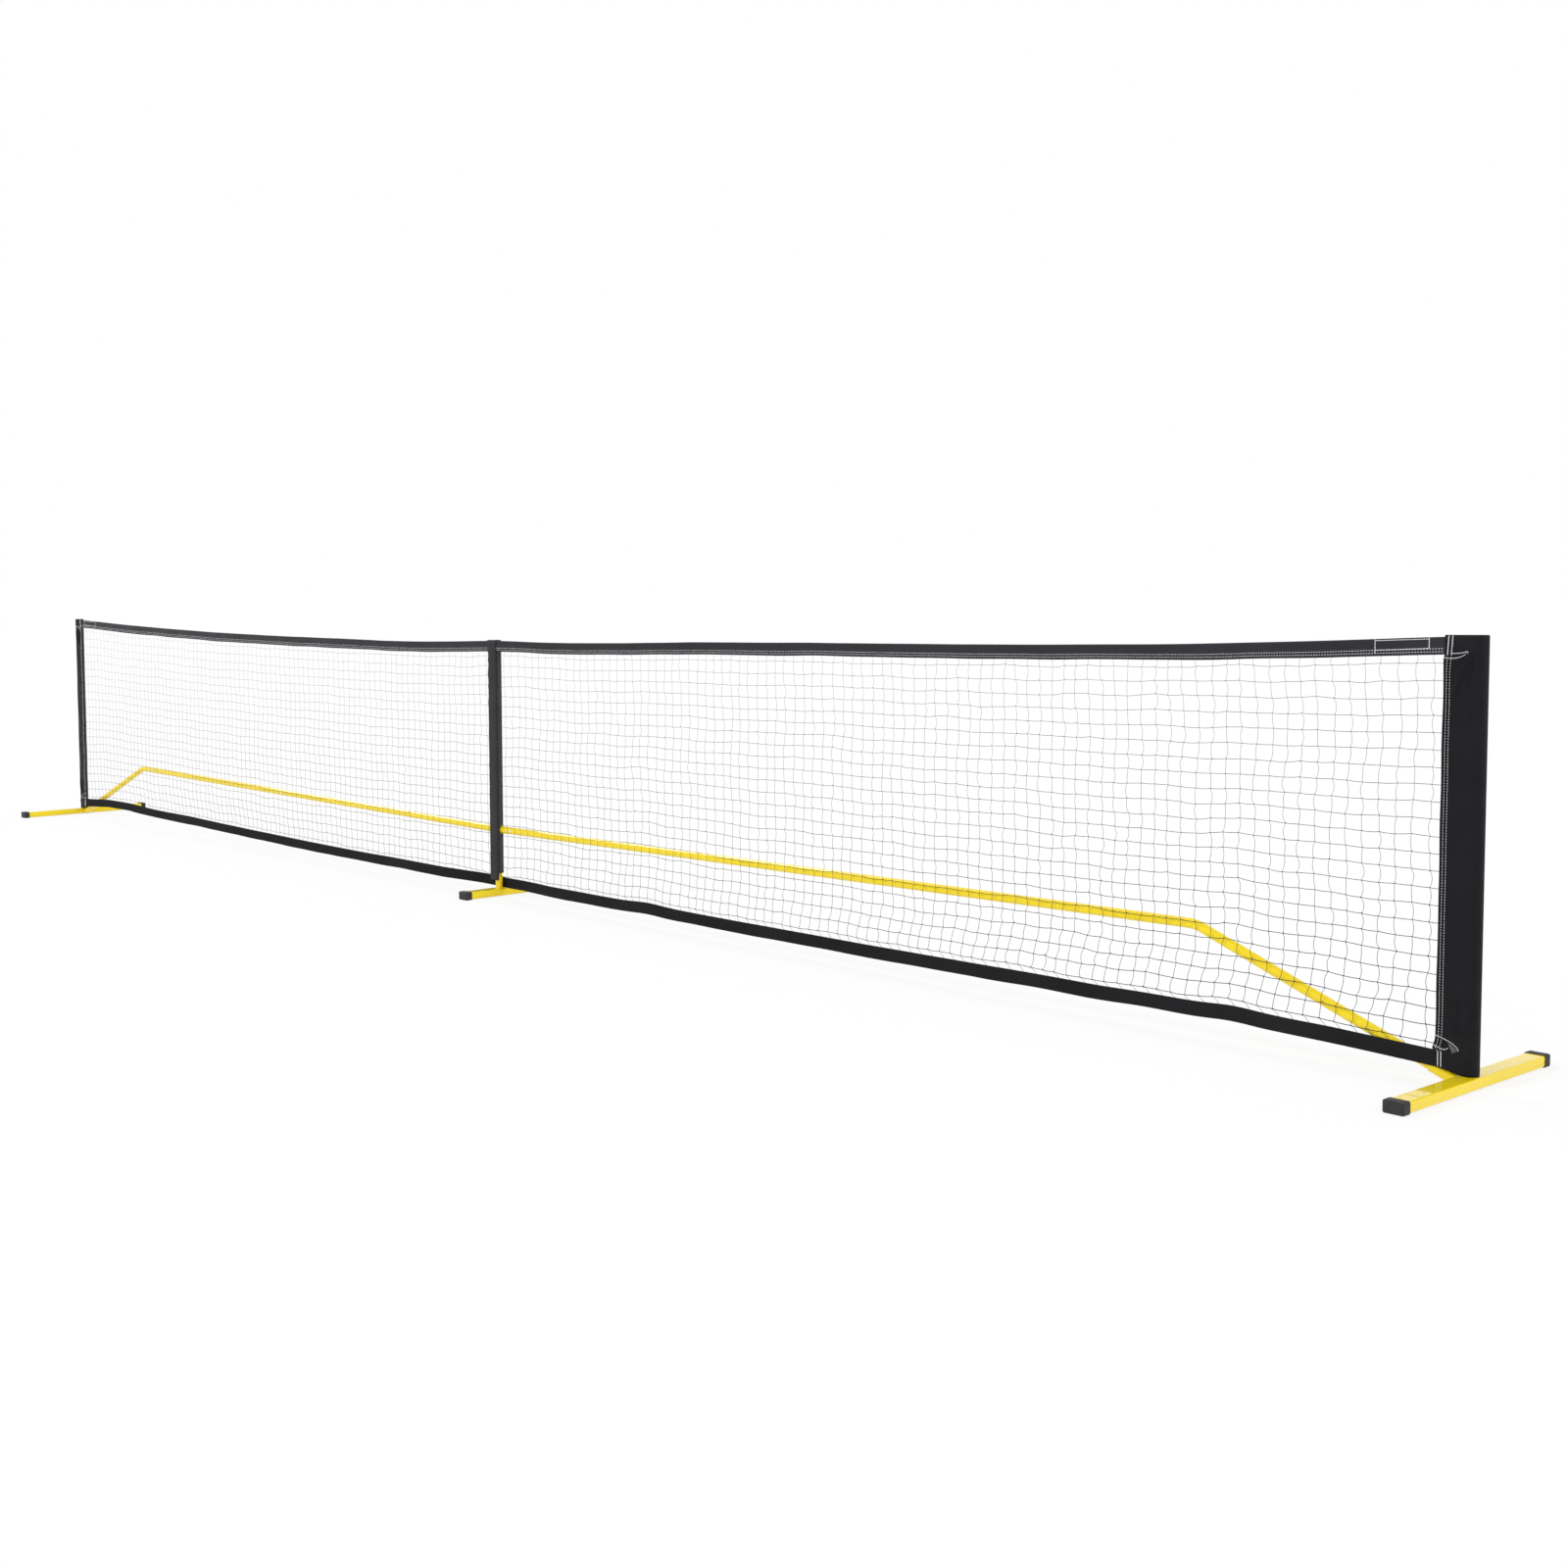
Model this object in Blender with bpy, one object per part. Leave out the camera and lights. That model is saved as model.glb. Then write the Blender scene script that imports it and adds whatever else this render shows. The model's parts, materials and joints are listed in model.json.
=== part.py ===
"""Portable racket-sport net on a free-standing steel frame.

Units are metres, +Z is up. X runs along the net, +Y to the back, and the origin is on the
floor under the middle of the net. Every piece is one closed solid, and pieces that touch on
the real object keep the gap FIT between their meshes.
"""

import math

import bmesh
import bpy
from mathutils import Matrix, Vector

# ---- driving dimensions ----------------------------------------------------------------

FIT = 0.0003              # gap between pieces that touch
TUBE_SIDES = 20           # facets round a tube
SMALL_SIDES = 12          # facets round a button

NET_WIDTH = 6.70          # over the outer edges of the side sleeves
NET_END_HEIGHT = 0.9145   # top tape at the posts
NET_CENTRE_HEIGHT = 0.8586
LEFT_SAG = 0.0255         # drop of the top tape below its chord, left half
RIGHT_SAG = 0.0155        # the right half is pulled tighter
RIGHT_WAVE = 0.0055       # and waves, high near the pole and low near the post
POLE_DIP = 0.0045         # dip of the tape on each side of the pole
POLE_DIP_REACH = 0.30     # share of the half over which it dips
NET_BOTTOM = 0.032        # lower edge of the bottom tape above the floor
LEFT_LIFT = 0.0235        # how far the bottom tape rises towards the left post
RIGHT_LIFT = 0.0135
NET_CLEARANCE = 0.0007    # between the net's cords and a snap button

TUBE_RADIUS = 0.012       # posts, bars, corner tubes, centre pole
TUBE_WALL = 0.0014
SOCKET_WALL = 0.00165     # sockets that the posts and corner tubes stand in
SOCKET_CLEARANCE = 0.00035
PLUG_LENGTH = 0.075       # necked end of a tube, inside the next tube

FOOT_WIDTH = 0.042
FOOT_HEIGHT = 0.0235
FOOT_WALL = 0.0015
FOOT_CORNER = 0.003
END_FOOT_LENGTH = 0.600   # over its two end caps
CENTRE_FOOT_LENGTH = 0.300
CAP_LENGTH = 0.022
CAP_WALL = 0.0015
CAP_BACK = 0.003          # rubber beyond the end of the steel
CAP_CORNER = 0.0038

POST_SOCKET_HEIGHT = 0.055
BAR_CENTRE_HEIGHT = 0.2245
BEND_X = 2.693            # where the bar turns down to the foot
BEND_HEIGHT = 0.2525
BEND_RADIUS = 0.100
BEND_STEPS = 6
DIAGONAL_FOOT_HEIGHT = 0.0095   # axis of the diagonal where it meets the foot's side
ANGLED_SOCKET_REACH = 0.080    # from the post's axis to the angled socket's mouth
ANGLED_SOCKET_DEPTH = 0.042    # how far the corner tube goes in, along X
MIDDLE_JOINT_X = 1.400
CORNER_STRAIGHT = 0.153   # from the corner tube's mouth to its bend

TEE_HEIGHT = 0.066        # upright sleeve of the centre tee
TEE_COLLAR_REACH = 0.045  # full-size part of the tee's arms
GUSSET_LENGTH = 0.034
GUSSET_LOW = 0.0040       # under the bottom tape
GUSSET_HIGH = 0.0170      # the lug behind the tape
GUSSET_ROUND = 0.0045
GUSSET_THICKNESS = 0.006
POLE_CAP_HEIGHT = 0.003
POLE_CAP_PLUG = 0.012
POLE_TOP_DROP = 0.0036    # pole cap below the centre of the top tape

BUTTON_RADIUS = 0.0040
BUTTON_HOLE_GAP = 0.0003
BUTTON_PROUD = 0.0028
BUTTON_TRAVEL = 0.0045    # pressed until its crown is flush with the plug
BUTTON_FLANGE = 0.0010
BUTTON_FLANGE_SIDE = 0.0032
BUTTON_FLANGE_ALONG = 0.0065
BUTTON_FROM_PLUG_ROOT = 0.038
SPRING_WIDTH = 0.0056
SPRING_THICKNESS = 0.0007
SPRING_LENGTH = 0.034
SPRING_PAD = 0.006        # half the leg that backs the button
SPRING_HEEL = 0.008       # the far leg, towards the bend
SPRING_TAIL = 0.010       # the far leg, the other way
SPRING_ROUND = 0.30       # the bend's radius as a share of the leaf's height

SLEEVE_WIDTH = 0.083
SLEEVE_BOTTOM = 0.027
SLEEVE_BOTTOM_RISE = 0.010     # its lower edge slopes up towards the net
SLEEVE_BOTTOM_FLAT = 0.028     # level part, from the outer edge
FABRIC = 0.0015           # one layer, with its backing
SEAM = 0.0030             # two layers sewn together
SEAM_REACH = 0.045        # from the post's axis to the line where the layers meet
SLEEVE_ARC_END = 110.0    # degrees round the post before the back layer runs to the seam
SLEEVE_NOTCH = 0.0005
TOP_TAPE = 0.036
BOTTOM_TAPE = 0.0345
TAPE_STATIONS = 20        # per half of the net
TAPE_DETOUR = 0.30        # half-length over which the bottom tape passes behind the pole
BAND_WIDTH = 0.048
BAND_FABRIC = 0.0016
BAND_FRONT_BOTTOM = 0.055
BAND_BACK_BOTTOM = 0.078
BAND_ARC_STEPS = 8
BAND_ARM_GAP = 0.0015     # round the tee's arms

NET_COLUMNS = 48
NET_ROWS = 7
CORD = 0.0020
TIE_RADIUS = 0.0011
TIE_POINTS = 10
TIE_START = 0.004         # from the sleeve's inner edge
TIE_REACH = 0.050         # how far across the sleeve
TOP_TIE_DROP = 0.007      # below the top tape
TOP_TIE_RISE = 0.012      # over its length
BOTTOM_TIE_LIFT = 0.030   # above the bottom tape
BOTTOM_TIE_FALL = 0.026

# ---- sizes that follow -----------------------------------------------------------------

HALF_WIDTH = NET_WIDTH / 2
TUBE_BORE = TUBE_RADIUS - TUBE_WALL
PLUG_RADIUS = TUBE_BORE - FIT
PLUG_BORE = PLUG_RADIUS - TUBE_WALL
PLUG_CONE = 0.004
PLUG_SHOULDER = 0.0015
SOCKET_BORE = TUBE_RADIUS + SOCKET_CLEARANCE
SOCKET_RADIUS = SOCKET_BORE + SOCKET_WALL
NET_FRONT = TUBE_RADIUS + BUTTON_PROUD + NET_CLEARANCE + CORD / 2  # the net hangs in front

CAP_SIDE = CAP_WALL + FIT
FOOT_BOTTOM = CAP_WALL + FIT
FOOT_TOP = FOOT_BOTTOM + FOOT_HEIGHT

CORNER_JOINT_X = BEND_X - CORNER_STRAIGHT
SEAM_BACK = -NET_FRONT + SEAM / 2
SEAM_FRONT = -NET_FRONT - SEAM / 2
SLEEVE_RADIUS = -SEAM_FRONT
SLEEVE_BORE = SLEEVE_RADIUS - FABRIC
POST_X = HALF_WIDTH - SLEEVE_RADIUS
SLEEVE_INNER_X = HALF_WIDTH - SLEEVE_WIDTH
SLEEVE_TOP = NET_END_HEIGHT
POST_BOTTOM = FOOT_TOP + FIT
POST_CAP_TOP = SLEEVE_TOP - FABRIC - 2 * FIT

FOOT_SIDE_X = POST_X - FOOT_WIDTH / 2
DIAGONAL_SLOPE = (DIAGONAL_FOOT_HEIGHT - BEND_HEIGHT) / (FOOT_SIDE_X - BEND_X)
BAR_SLOPE = (BEND_HEIGHT - BAR_CENTRE_HEIGHT) / BEND_X
SOCKET_MOUTH_X = POST_X - ANGLED_SOCKET_REACH
TUBE_END_X = SOCKET_MOUTH_X + ANGLED_SOCKET_DEPTH

POLE_CAP_TOP = NET_CENTRE_HEIGHT - POLE_TOP_DROP
BAND_GAP = 2 * FIT
TAPE_BEHIND = TUBE_RADIUS + FIT + SEAM / 2  # the bottom tape passes behind the upright


# ---- materials -------------------------------------------------------------------------

def material(name, colour, roughness, metallic=0.0):
    """A Principled material of one colour."""
    made = bpy.data.materials.new(name)
    made.use_nodes = True
    made.diffuse_color = (*colour, 1.0)
    shader = made.node_tree.nodes["Principled BSDF"]
    shader.inputs["Base Color"].default_value = (*colour, 1.0)
    shader.inputs["Roughness"].default_value = roughness
    shader.inputs["Metallic"].default_value = metallic
    return made


def make_materials():
    return {
        "powder_coat": material("powder_coat", (0.93, 0.68, 0.02), 0.28),
        "rubber": material("rubber", (0.035, 0.035, 0.038), 0.62),
        "plastic": material("plastic", (0.03, 0.03, 0.03), 0.45),
        "fabric": material("fabric", (0.018, 0.018, 0.022), 0.80),
        "net_cord": material("net_cord", (0.07, 0.07, 0.08), 0.85),
        "tie_cord": material("tie_cord", (0.62, 0.62, 0.64), 0.75),
        "zinc": material("zinc", (0.75, 0.75, 0.77), 0.25, 1.0),
        "spring_steel": material("spring_steel", (0.45, 0.46, 0.48), 0.35, 1.0),
    }


# ---- solids ----------------------------------------------------------------------------

def finish(name, bm, look):
    """Turns a bmesh into a named object with outward faces."""
    bmesh.ops.recalc_face_normals(bm, faces=bm.faces)
    mesh = bpy.data.meshes.new(name)
    bm.to_mesh(mesh)
    bm.free()
    mesh.materials.append(look)
    mesh.set_sharp_from_angle(angle=math.radians(40))
    made = bpy.data.objects.new(name, mesh)
    bpy.context.scene.collection.objects.link(made)
    return made


def subtract(target, cutter):
    """Cuts one object by another, which then only guides."""
    cutter.hide_render = True
    cutter.display_type = "WIRE"
    cut = target.modifiers.new("cut_" + cutter.name, "BOOLEAN")
    cut.operation = "DIFFERENCE"
    cut.solver = "EXACT"
    cut.object = cutter


def unite(target, other):
    """Joins another object's shape to the target."""
    other.hide_render = True
    other.display_type = "WIRE"
    join = target.modifiers.new("join_" + other.name, "BOOLEAN")
    join.operation = "UNION"
    join.solver = "EXACT"
    join.object = other


def axis_frame(start, direction):
    """The matrix that carries +Z to the direction and the origin to the start."""
    turn = Vector((0, 0, 1)).rotation_difference(Vector(direction).normalized())
    return Matrix.Translation(Vector(start)) @ turn.to_matrix().to_4x4()


def turned(name, profile, start, direction, look, sides=TUBE_SIDES):
    """Revolves a closed profile of (distance along the axis, radius) points."""
    bm = bmesh.new()
    place = axis_frame(start, direction)
    rings = []
    for along, radius in profile:
        if radius == 0:
            rings.append([bm.verts.new(place @ Vector((0, 0, along)))])
            continue
        ring = []
        for i in range(sides):
            angle = 2 * math.pi * (i + 0.5) / sides
            point = Vector((radius * math.cos(angle), radius * math.sin(angle), along))
            ring.append(bm.verts.new(place @ point))
        rings.append(ring)
    closed = all(len(ring) > 1 for ring in rings)
    pairs = list(zip(rings, rings[1:]))
    if closed:
        pairs.append((rings[-1], rings[0]))
    for a, b in pairs:
        for i in range(sides):
            j = (i + 1) % sides
            corners = [a[i % len(a)], a[j % len(a)], b[j % len(b)], b[i % len(b)]]
            unique = list(dict.fromkeys(corners))
            if len(unique) > 2:
                bm.faces.new(unique)
    return finish(name, bm, look)


def tube(name, start, end, outer, bore, look):
    """A straight open tube between two points."""
    length = (Vector(end) - Vector(start)).length
    profile = [(0, outer), (length, outer), (length, bore), (0, bore)]
    return turned(name, profile, start, Vector(end) - Vector(start), look)


def rod(name, start, end, radius, look, sides=TUBE_SIDES):
    """A straight solid rod between two points."""
    length = (Vector(end) - Vector(start)).length
    profile = [(0, 0), (0, radius), (length, radius), (length, 0)]
    return turned(name, profile, start, Vector(end) - Vector(start), look, sides)


def necked_tube(name, start, joint, look):
    """A tube whose far end is drawn down to plug into the next tube."""
    body = (Vector(joint) - Vector(start)).length
    tip = body + PLUG_LENGTH
    profile = [
        (0, TUBE_RADIUS),
        (body - PLUG_SHOULDER, TUBE_RADIUS),
        (body, PLUG_RADIUS),
        (tip, PLUG_RADIUS),
        (tip, PLUG_BORE),
        (body, PLUG_BORE),
        (body - PLUG_CONE, TUBE_BORE),
        (0, TUBE_BORE),
    ]
    return turned(name, profile, start, Vector(joint) - Vector(start), look)


def ring_along(bm, point, tangent, radius, sides):
    """A ring of vertices across a path that lies in a plane of constant Y."""
    side = Vector((0, 1, 0))
    up = tangent.cross(side).normalized()
    ring = []
    for i in range(sides):
        angle = 2 * math.pi * (i + 0.5) / sides
        offset = math.cos(angle) * radius * side + math.sin(angle) * radius * up
        ring.append(bm.verts.new(point + offset))
    return ring


def bridge(bm, a, b):
    for i in range(len(a)):
        j = (i + 1) % len(a)
        bm.faces.new((a[i], a[j], b[j], b[i]))


def swept_tube(name, path, outer, bore, look, sides=TUBE_SIDES):
    """An open tube along a path in the frame's plane."""
    bm = bmesh.new()
    outside, inside = [], []
    for i, point in enumerate(path):
        before = path[max(i - 1, 0)]
        after = path[min(i + 1, len(path) - 1)]
        tangent = (after - before).normalized()
        outside.append(ring_along(bm, point, tangent, outer, sides))
        inside.append(ring_along(bm, point, tangent, bore, sides))
    for shell in (outside, inside):
        for a, b in zip(shell, shell[1:]):
            bridge(bm, a, b)
    bridge(bm, outside[0], inside[0])
    bridge(bm, outside[-1], inside[-1])
    return finish(name, bm, look)


def prism(name, outline, axis, low, high, look, holes=()):
    """Extrudes an outline, given across the axis "X", "Y" or "Z", from low to high."""
    def place(u, v, along):
        if axis == "X":
            return (along, u, v)
        if axis == "Y":
            return (u, along, v)
        return (u, v, along)

    bm = bmesh.new()
    loops = []
    for points in (outline, *holes):
        loops.append([
            [bm.verts.new(place(u, v, along)) for u, v in points] for along in (low, high)
        ])
    for bottom, top in loops:
        bridge(bm, bottom, top)
    for level in (0, 1):
        if holes:
            for outer, inner in zip([loops[0][level]], [loop[level] for loop in loops[1:]]):
                bridge(bm, outer, inner)
        else:
            bm.faces.new(loops[0][level])
    return finish(name, bm, look)


def rounded_rectangle(width, height, radius, centre=(0, 0), steps=2):
    """Corner points of a rectangle with rounded corners, anticlockwise."""
    points = []
    corners = ((1, 1, 0), (-1, 1, 90), (-1, -1, 180), (1, -1, 270))
    for sx, sy, start in corners:
        cx = centre[0] + sx * (width / 2 - radius)
        cy = centre[1] + sy * (height / 2 - radius)
        for i in range(steps + 1):
            angle = math.radians(start + 90 * i / steps)
            points.append((cx + radius * math.cos(angle), cy + radius * math.sin(angle)))
    return points


# ---- lines of the net and the frame ------------------------------------------------------

def top_edge(x):
    """Height of the top tape's upper edge: a chord to each post, and how the tape hangs."""
    t = abs(x) / HALF_WIDTH
    sag = LEFT_SAG if x < 0 else RIGHT_SAG
    wave = 0 if x < 0 else RIGHT_WAVE
    chord = NET_CENTRE_HEIGHT + (NET_END_HEIGHT - NET_CENTRE_HEIGHT) * t
    dip = POLE_DIP * math.sin(math.pi * min(1, t / POLE_DIP_REACH))
    return chord - 4 * sag * t * (1 - t) + wave * math.sin(2 * math.pi * t ** 1.3) - dip


def bottom_edge(x):
    """Height of the bottom tape's lower edge, which lifts a little before each post."""
    t = abs(x) / HALF_WIDTH
    lift = LEFT_LIFT if x < 0 else RIGHT_LIFT
    return NET_BOTTOM + lift * math.sin(math.pi * t ** 4)


def bar_point(side, x):
    """A point on the axis of the long bar; side is -1 for left and 1 for right."""
    return Vector((side * x, 0, BAR_CENTRE_HEIGHT + BAR_SLOPE * x))


def diagonal_point(side, x):
    """A point on the axis of the sloping end of the corner tube."""
    return Vector((side * x, 0, BEND_HEIGHT + DIAGONAL_SLOPE * (x - BEND_X)))


def corner_path(side):
    """Axis of a corner tube: bar, bend, diagonal."""
    bar = (bar_point(side, BEND_X) - bar_point(side, 0)).normalized()
    diagonal = (diagonal_point(side, FOOT_SIDE_X) - bar_point(side, BEND_X)).normalized()
    turn = bar.angle(diagonal)
    reach = BEND_RADIUS * math.tan(turn / 2)
    corner = bar_point(side, BEND_X)
    centre = corner + (diagonal - bar).normalized() * BEND_RADIUS / math.cos(turn / 2)
    first = corner - bar * reach - centre
    spin = first.cross(corner + diagonal * reach - centre).normalized()
    path = [bar_point(side, CORNER_JOINT_X + FIT)]
    for i in range(BEND_STEPS + 1):
        path.append(centre + Matrix.Rotation(turn * i / BEND_STEPS, 3, spin) @ first)
    path.append(diagonal_point(side, TUBE_END_X))
    return path


# ---- feet --------------------------------------------------------------------------------

def foot(name, x, length, looks):
    """A rectangular steel foot tube with a rubber cap over each end."""
    steel = length / 2 - CAP_BACK - FIT
    middle = FOOT_BOTTOM + FOOT_HEIGHT / 2
    outer = rounded_rectangle(FOOT_WIDTH, FOOT_HEIGHT, FOOT_CORNER, (x, middle))
    bore = rounded_rectangle(
        FOOT_WIDTH - 2 * FOOT_WALL,
        FOOT_HEIGHT - 2 * FOOT_WALL,
        FOOT_CORNER - FOOT_WALL,
        (x, middle),
    )
    prism(name, outer, "Y", -steel, steel, looks["powder_coat"], holes=[bore])
    for end, sign in (("front", -1), ("back", 1)):
        foot_cap(f"{name}_cap_{end}", x, sign, length, looks)


def foot_cap(name, x, sign, length, looks):
    """A rubber cup over the end of a foot, its outer edge rounded over."""
    middle = FOOT_BOTTOM + FOOT_HEIGHT / 2
    width = FOOT_WIDTH + 2 * CAP_SIDE
    height = FOOT_HEIGHT + 2 * CAP_SIDE
    bm = bmesh.new()

    def ring(points, y):
        return [bm.verts.new((u, sign * y, v)) for u, v in points]

    def outside(shrink, y):
        points = rounded_rectangle(
            width - 2 * shrink, height - 2 * shrink, CAP_CORNER - shrink, (x, middle)
        )
        return ring(points, y)

    mouth = length / 2 - CAP_LENGTH
    floor = length / 2 - CAP_BACK
    pocket = rounded_rectangle(
        FOOT_WIDTH + 2 * FIT, FOOT_HEIGHT + 2 * FIT, FOOT_CORNER + FIT, (x, middle)
    )
    rings = [
        ring(pocket, floor),
        ring(pocket, mouth),
        outside(0, mouth),
        outside(0, length / 2 - 0.0016),
        outside(0.0005, length / 2 - 0.0005),
        outside(0.0016, length / 2),
    ]
    for a, b in zip(rings, rings[1:]):
        bridge(bm, a, b)
    bm.faces.new(rings[0])
    bm.faces.new(rings[-1])
    finish(name, bm, looks["rubber"])


# ---- end bases ---------------------------------------------------------------------------

def end_base(word, side, looks):
    """Foot, upright socket and angled socket at one end of the net."""
    x = side * POST_X
    foot(f"{word}_foot", x, END_FOOT_LENGTH, looks)
    coat = looks["powder_coat"]
    socket_top = FOOT_TOP + POST_SOCKET_HEIGHT
    tube(
        f"{word}_post_socket",
        (x, 0, FOOT_TOP + FIT),
        (x, 0, socket_top),
        SOCKET_RADIUS,
        SOCKET_BORE,
        coat,
    )
    mouth = diagonal_point(side, SOCKET_MOUTH_X)
    inside = diagonal_point(side, POST_X - SOCKET_BORE / 2)
    angled = tube(f"{word}_angled_socket", mouth, inside, SOCKET_RADIUS, SOCKET_BORE, coat)
    clear = SOCKET_RADIUS + FIT
    post_cutter = rod(f"{word}_socket_cope", (x, 0, -clear), (x, 0, socket_top), clear, coat)
    foot_cutter = prism(
        f"{word}_foot_cope",
        rounded_rectangle(
            FOOT_WIDTH + 2 * FIT,
            FOOT_HEIGHT + 2 * FIT + SOCKET_RADIUS,
            FOOT_CORNER + FIT,
            (x, FOOT_BOTTOM + (FOOT_HEIGHT - SOCKET_RADIUS) / 2),
        ),
        "Y",
        -2 * SOCKET_RADIUS,
        2 * SOCKET_RADIUS,
        coat,
    )
    floor_cutter = prism(
        f"{word}_floor_cope",
        [
            (x, FOOT_BOTTOM),
            (x, FOOT_BOTTOM - 2 * SOCKET_RADIUS),
            (side * SOCKET_MOUTH_X, FOOT_BOTTOM - 2 * SOCKET_RADIUS),
            (side * SOCKET_MOUTH_X, FOOT_BOTTOM),
        ],
        "Y",
        -2 * SOCKET_RADIUS,
        2 * SOCKET_RADIUS,
        coat,
    )
    subtract(angled, post_cutter)
    subtract(angled, foot_cutter)
    subtract(angled, floor_cutter)


def end_post(word, side, looks):
    """The post in its socket, and the plastic plug in its top."""
    x = side * POST_X
    top = POST_CAP_TOP - POLE_CAP_HEIGHT - FIT
    tube(
        f"{word}_post",
        (x, 0, POST_BOTTOM),
        (x, 0, top),
        TUBE_RADIUS,
        TUBE_BORE,
        looks["powder_coat"],
    )
    tube_plug(f"{word}_post_cap", x, top, looks)


def tube_plug(name, x, tube_top, looks):
    """A plug that closes a tube's upper end: a disc with a domed rim over a short stem."""
    head = tube_top + FIT
    profile = [
        (-POLE_CAP_PLUG, 0),
        (-POLE_CAP_PLUG, PLUG_RADIUS - 0.0006),
        (0.002 - POLE_CAP_PLUG, PLUG_RADIUS),
        (0, PLUG_RADIUS),
        (0, TUBE_RADIUS),
        (POLE_CAP_HEIGHT - 0.0014, TUBE_RADIUS),
        (POLE_CAP_HEIGHT - 0.0004, TUBE_RADIUS - 0.0010),
        (POLE_CAP_HEIGHT, TUBE_RADIUS - 0.0030),
        (POLE_CAP_HEIGHT, 0),
    ]
    turned(name, profile, (x, 0, head), (0, 0, 1), looks["plastic"])


# ---- bars --------------------------------------------------------------------------------

def bars(word, side, looks):
    """Inner bar, outer bar and bent corner tube of one half, with their snap buttons."""
    coat = looks["powder_coat"]
    inner = necked_tube(
        f"{word}_inner_bar",
        bar_point(side, TEE_COLLAR_REACH + FIT),
        bar_point(side, MIDDLE_JOINT_X),
        coat,
    )
    outer = necked_tube(
        f"{word}_outer_bar",
        bar_point(side, MIDDLE_JOINT_X + FIT),
        bar_point(side, CORNER_JOINT_X),
        coat,
    )
    corner = swept_tube(f"{word}_corner_tube", corner_path(side), TUBE_RADIUS, TUBE_BORE, coat)
    return inner, outer, corner


def snap_button(name, side, root_x, facing, plug, sleeve, looks):
    """A sprung button in a plug, through the plug's wall and the sleeve's wall.

    root_x is where the plug begins, and facing is -1 for a button at the front of the bar
    and 1 for one at the back.
    """
    at = bar_point(side, root_x + BUTTON_FROM_PLUG_ROOT)
    out = Vector((0, facing, 0))
    along = (bar_point(side, 1) - bar_point(side, 0)).normalized()
    hole = BUTTON_RADIUS + BUTTON_HOLE_GAP
    for wall, tag in ((plug, "plug"), (sleeve, "sleeve")):
        drill = rod(
            f"{name}_{tag}_drill",
            at,
            at + out * 2 * TUBE_RADIUS,
            hole,
            looks["zinc"],
            SMALL_SIDES,
        )
        subtract(wall, drill)
    flange_top = math.sqrt(PLUG_BORE ** 2 - BUTTON_FLANGE_SIDE ** 2) - 2 * FIT
    flange_bottom = flange_top - BUTTON_FLANGE
    head_top = TUBE_RADIUS + BUTTON_PROUD
    head = turned(
        name,
        [
            (flange_bottom + BUTTON_FLANGE / 2, 0),
            (flange_bottom + BUTTON_FLANGE / 2, BUTTON_FLANGE_SIDE - FIT),
            (flange_top, BUTTON_FLANGE_SIDE - FIT),
            (flange_top + FIT, BUTTON_RADIUS),
            (head_top - 0.0012, BUTTON_RADIUS),
            (head_top - 0.0003, BUTTON_RADIUS - 0.0010),
            (head_top, BUTTON_RADIUS - 0.0025),
            (head_top, 0),
        ],
        at,
        out,
        looks["zinc"],
        SMALL_SIDES,
    )
    flange = plate(
        f"{name}_flange",
        at + out * (flange_bottom + BUTTON_FLANGE / 2),
        along * BUTTON_FLANGE_ALONG,
        out * BUTTON_FLANGE / 2,
        out.cross(along) * BUTTON_FLANGE_SIDE,
        looks["zinc"],
    )
    unite(head, flange)
    snap_spring(name.replace("button", "spring"), at, along, out, flange_bottom, looks)


def plate(name, centre, half_length, half_thickness, half_width, look):
    """A box given by its centre and its three half-edges."""
    bm = bmesh.new()
    bmesh.ops.create_cube(bm, size=2)
    columns = Matrix((half_length, half_thickness, half_width)).transposed()
    for vert in bm.verts:
        vert.co = centre + columns @ vert.co
    return finish(name, bm, look)


def snap_spring(name, at, along, out, under_button, looks):
    """A leaf of spring steel folded to a V inside the plug: one leg lies on the far wall,
    and the other, drawn as it stands when pressed, backs the button."""
    far = -math.sqrt(PLUG_BORE ** 2 - (SPRING_WIDTH / 2) ** 2) + FIT + SPRING_THICKNESS / 2
    near = under_button - BUTTON_TRAVEL - FIT - SPRING_THICKNESS / 2
    nose = SPRING_LENGTH - SPRING_TAIL
    line = [(-SPRING_PAD, near), (SPRING_PAD, near)]
    middle = (near + far) / 2
    bend = (near - far) / 2 * SPRING_ROUND
    line.append((nose - bend, middle + bend))
    for i in range(1, 4):
        angle = math.radians(90 - 45 * i)
        line.append((nose - bend + bend * math.cos(angle), middle + bend * math.sin(angle)))
    line.append((nose - bend, middle - bend))
    line += [(SPRING_HEEL, far), (-SPRING_TAIL, far)]
    strip(name, line, at, along, out, SPRING_WIDTH, SPRING_THICKNESS, looks["spring_steel"])


def strip(name, line, at, along, out, width, thickness, look):
    """A bent strip of even thickness; the line's points are (along, out) offsets."""
    side = out.cross(along).normalized() * width / 2
    bm = bmesh.new()
    sections = []
    for i, (u, v) in enumerate(line):
        before = Vector(line[max(i - 1, 0)])
        after = Vector(line[min(i + 1, len(line) - 1)])
        run = (after - before).normalized()
        normal = Vector((-run.y, run.x)) * thickness / 2
        section = []
        for across, offset in ((-1, normal), (1, normal), (1, -normal), (-1, -normal)):
            flat = Vector((u, v)) + offset
            point = at + along * flat.x + out * flat.y + across * side
            section.append(bm.verts.new(point))
        sections.append(section)
    for a, b in zip(sections, sections[1:]):
        bridge(bm, a, b)
    bm.faces.new(sections[0])
    bm.faces.new(sections[-1])
    finish(name, bm, look)


# ---- centre support ----------------------------------------------------------------------

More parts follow.
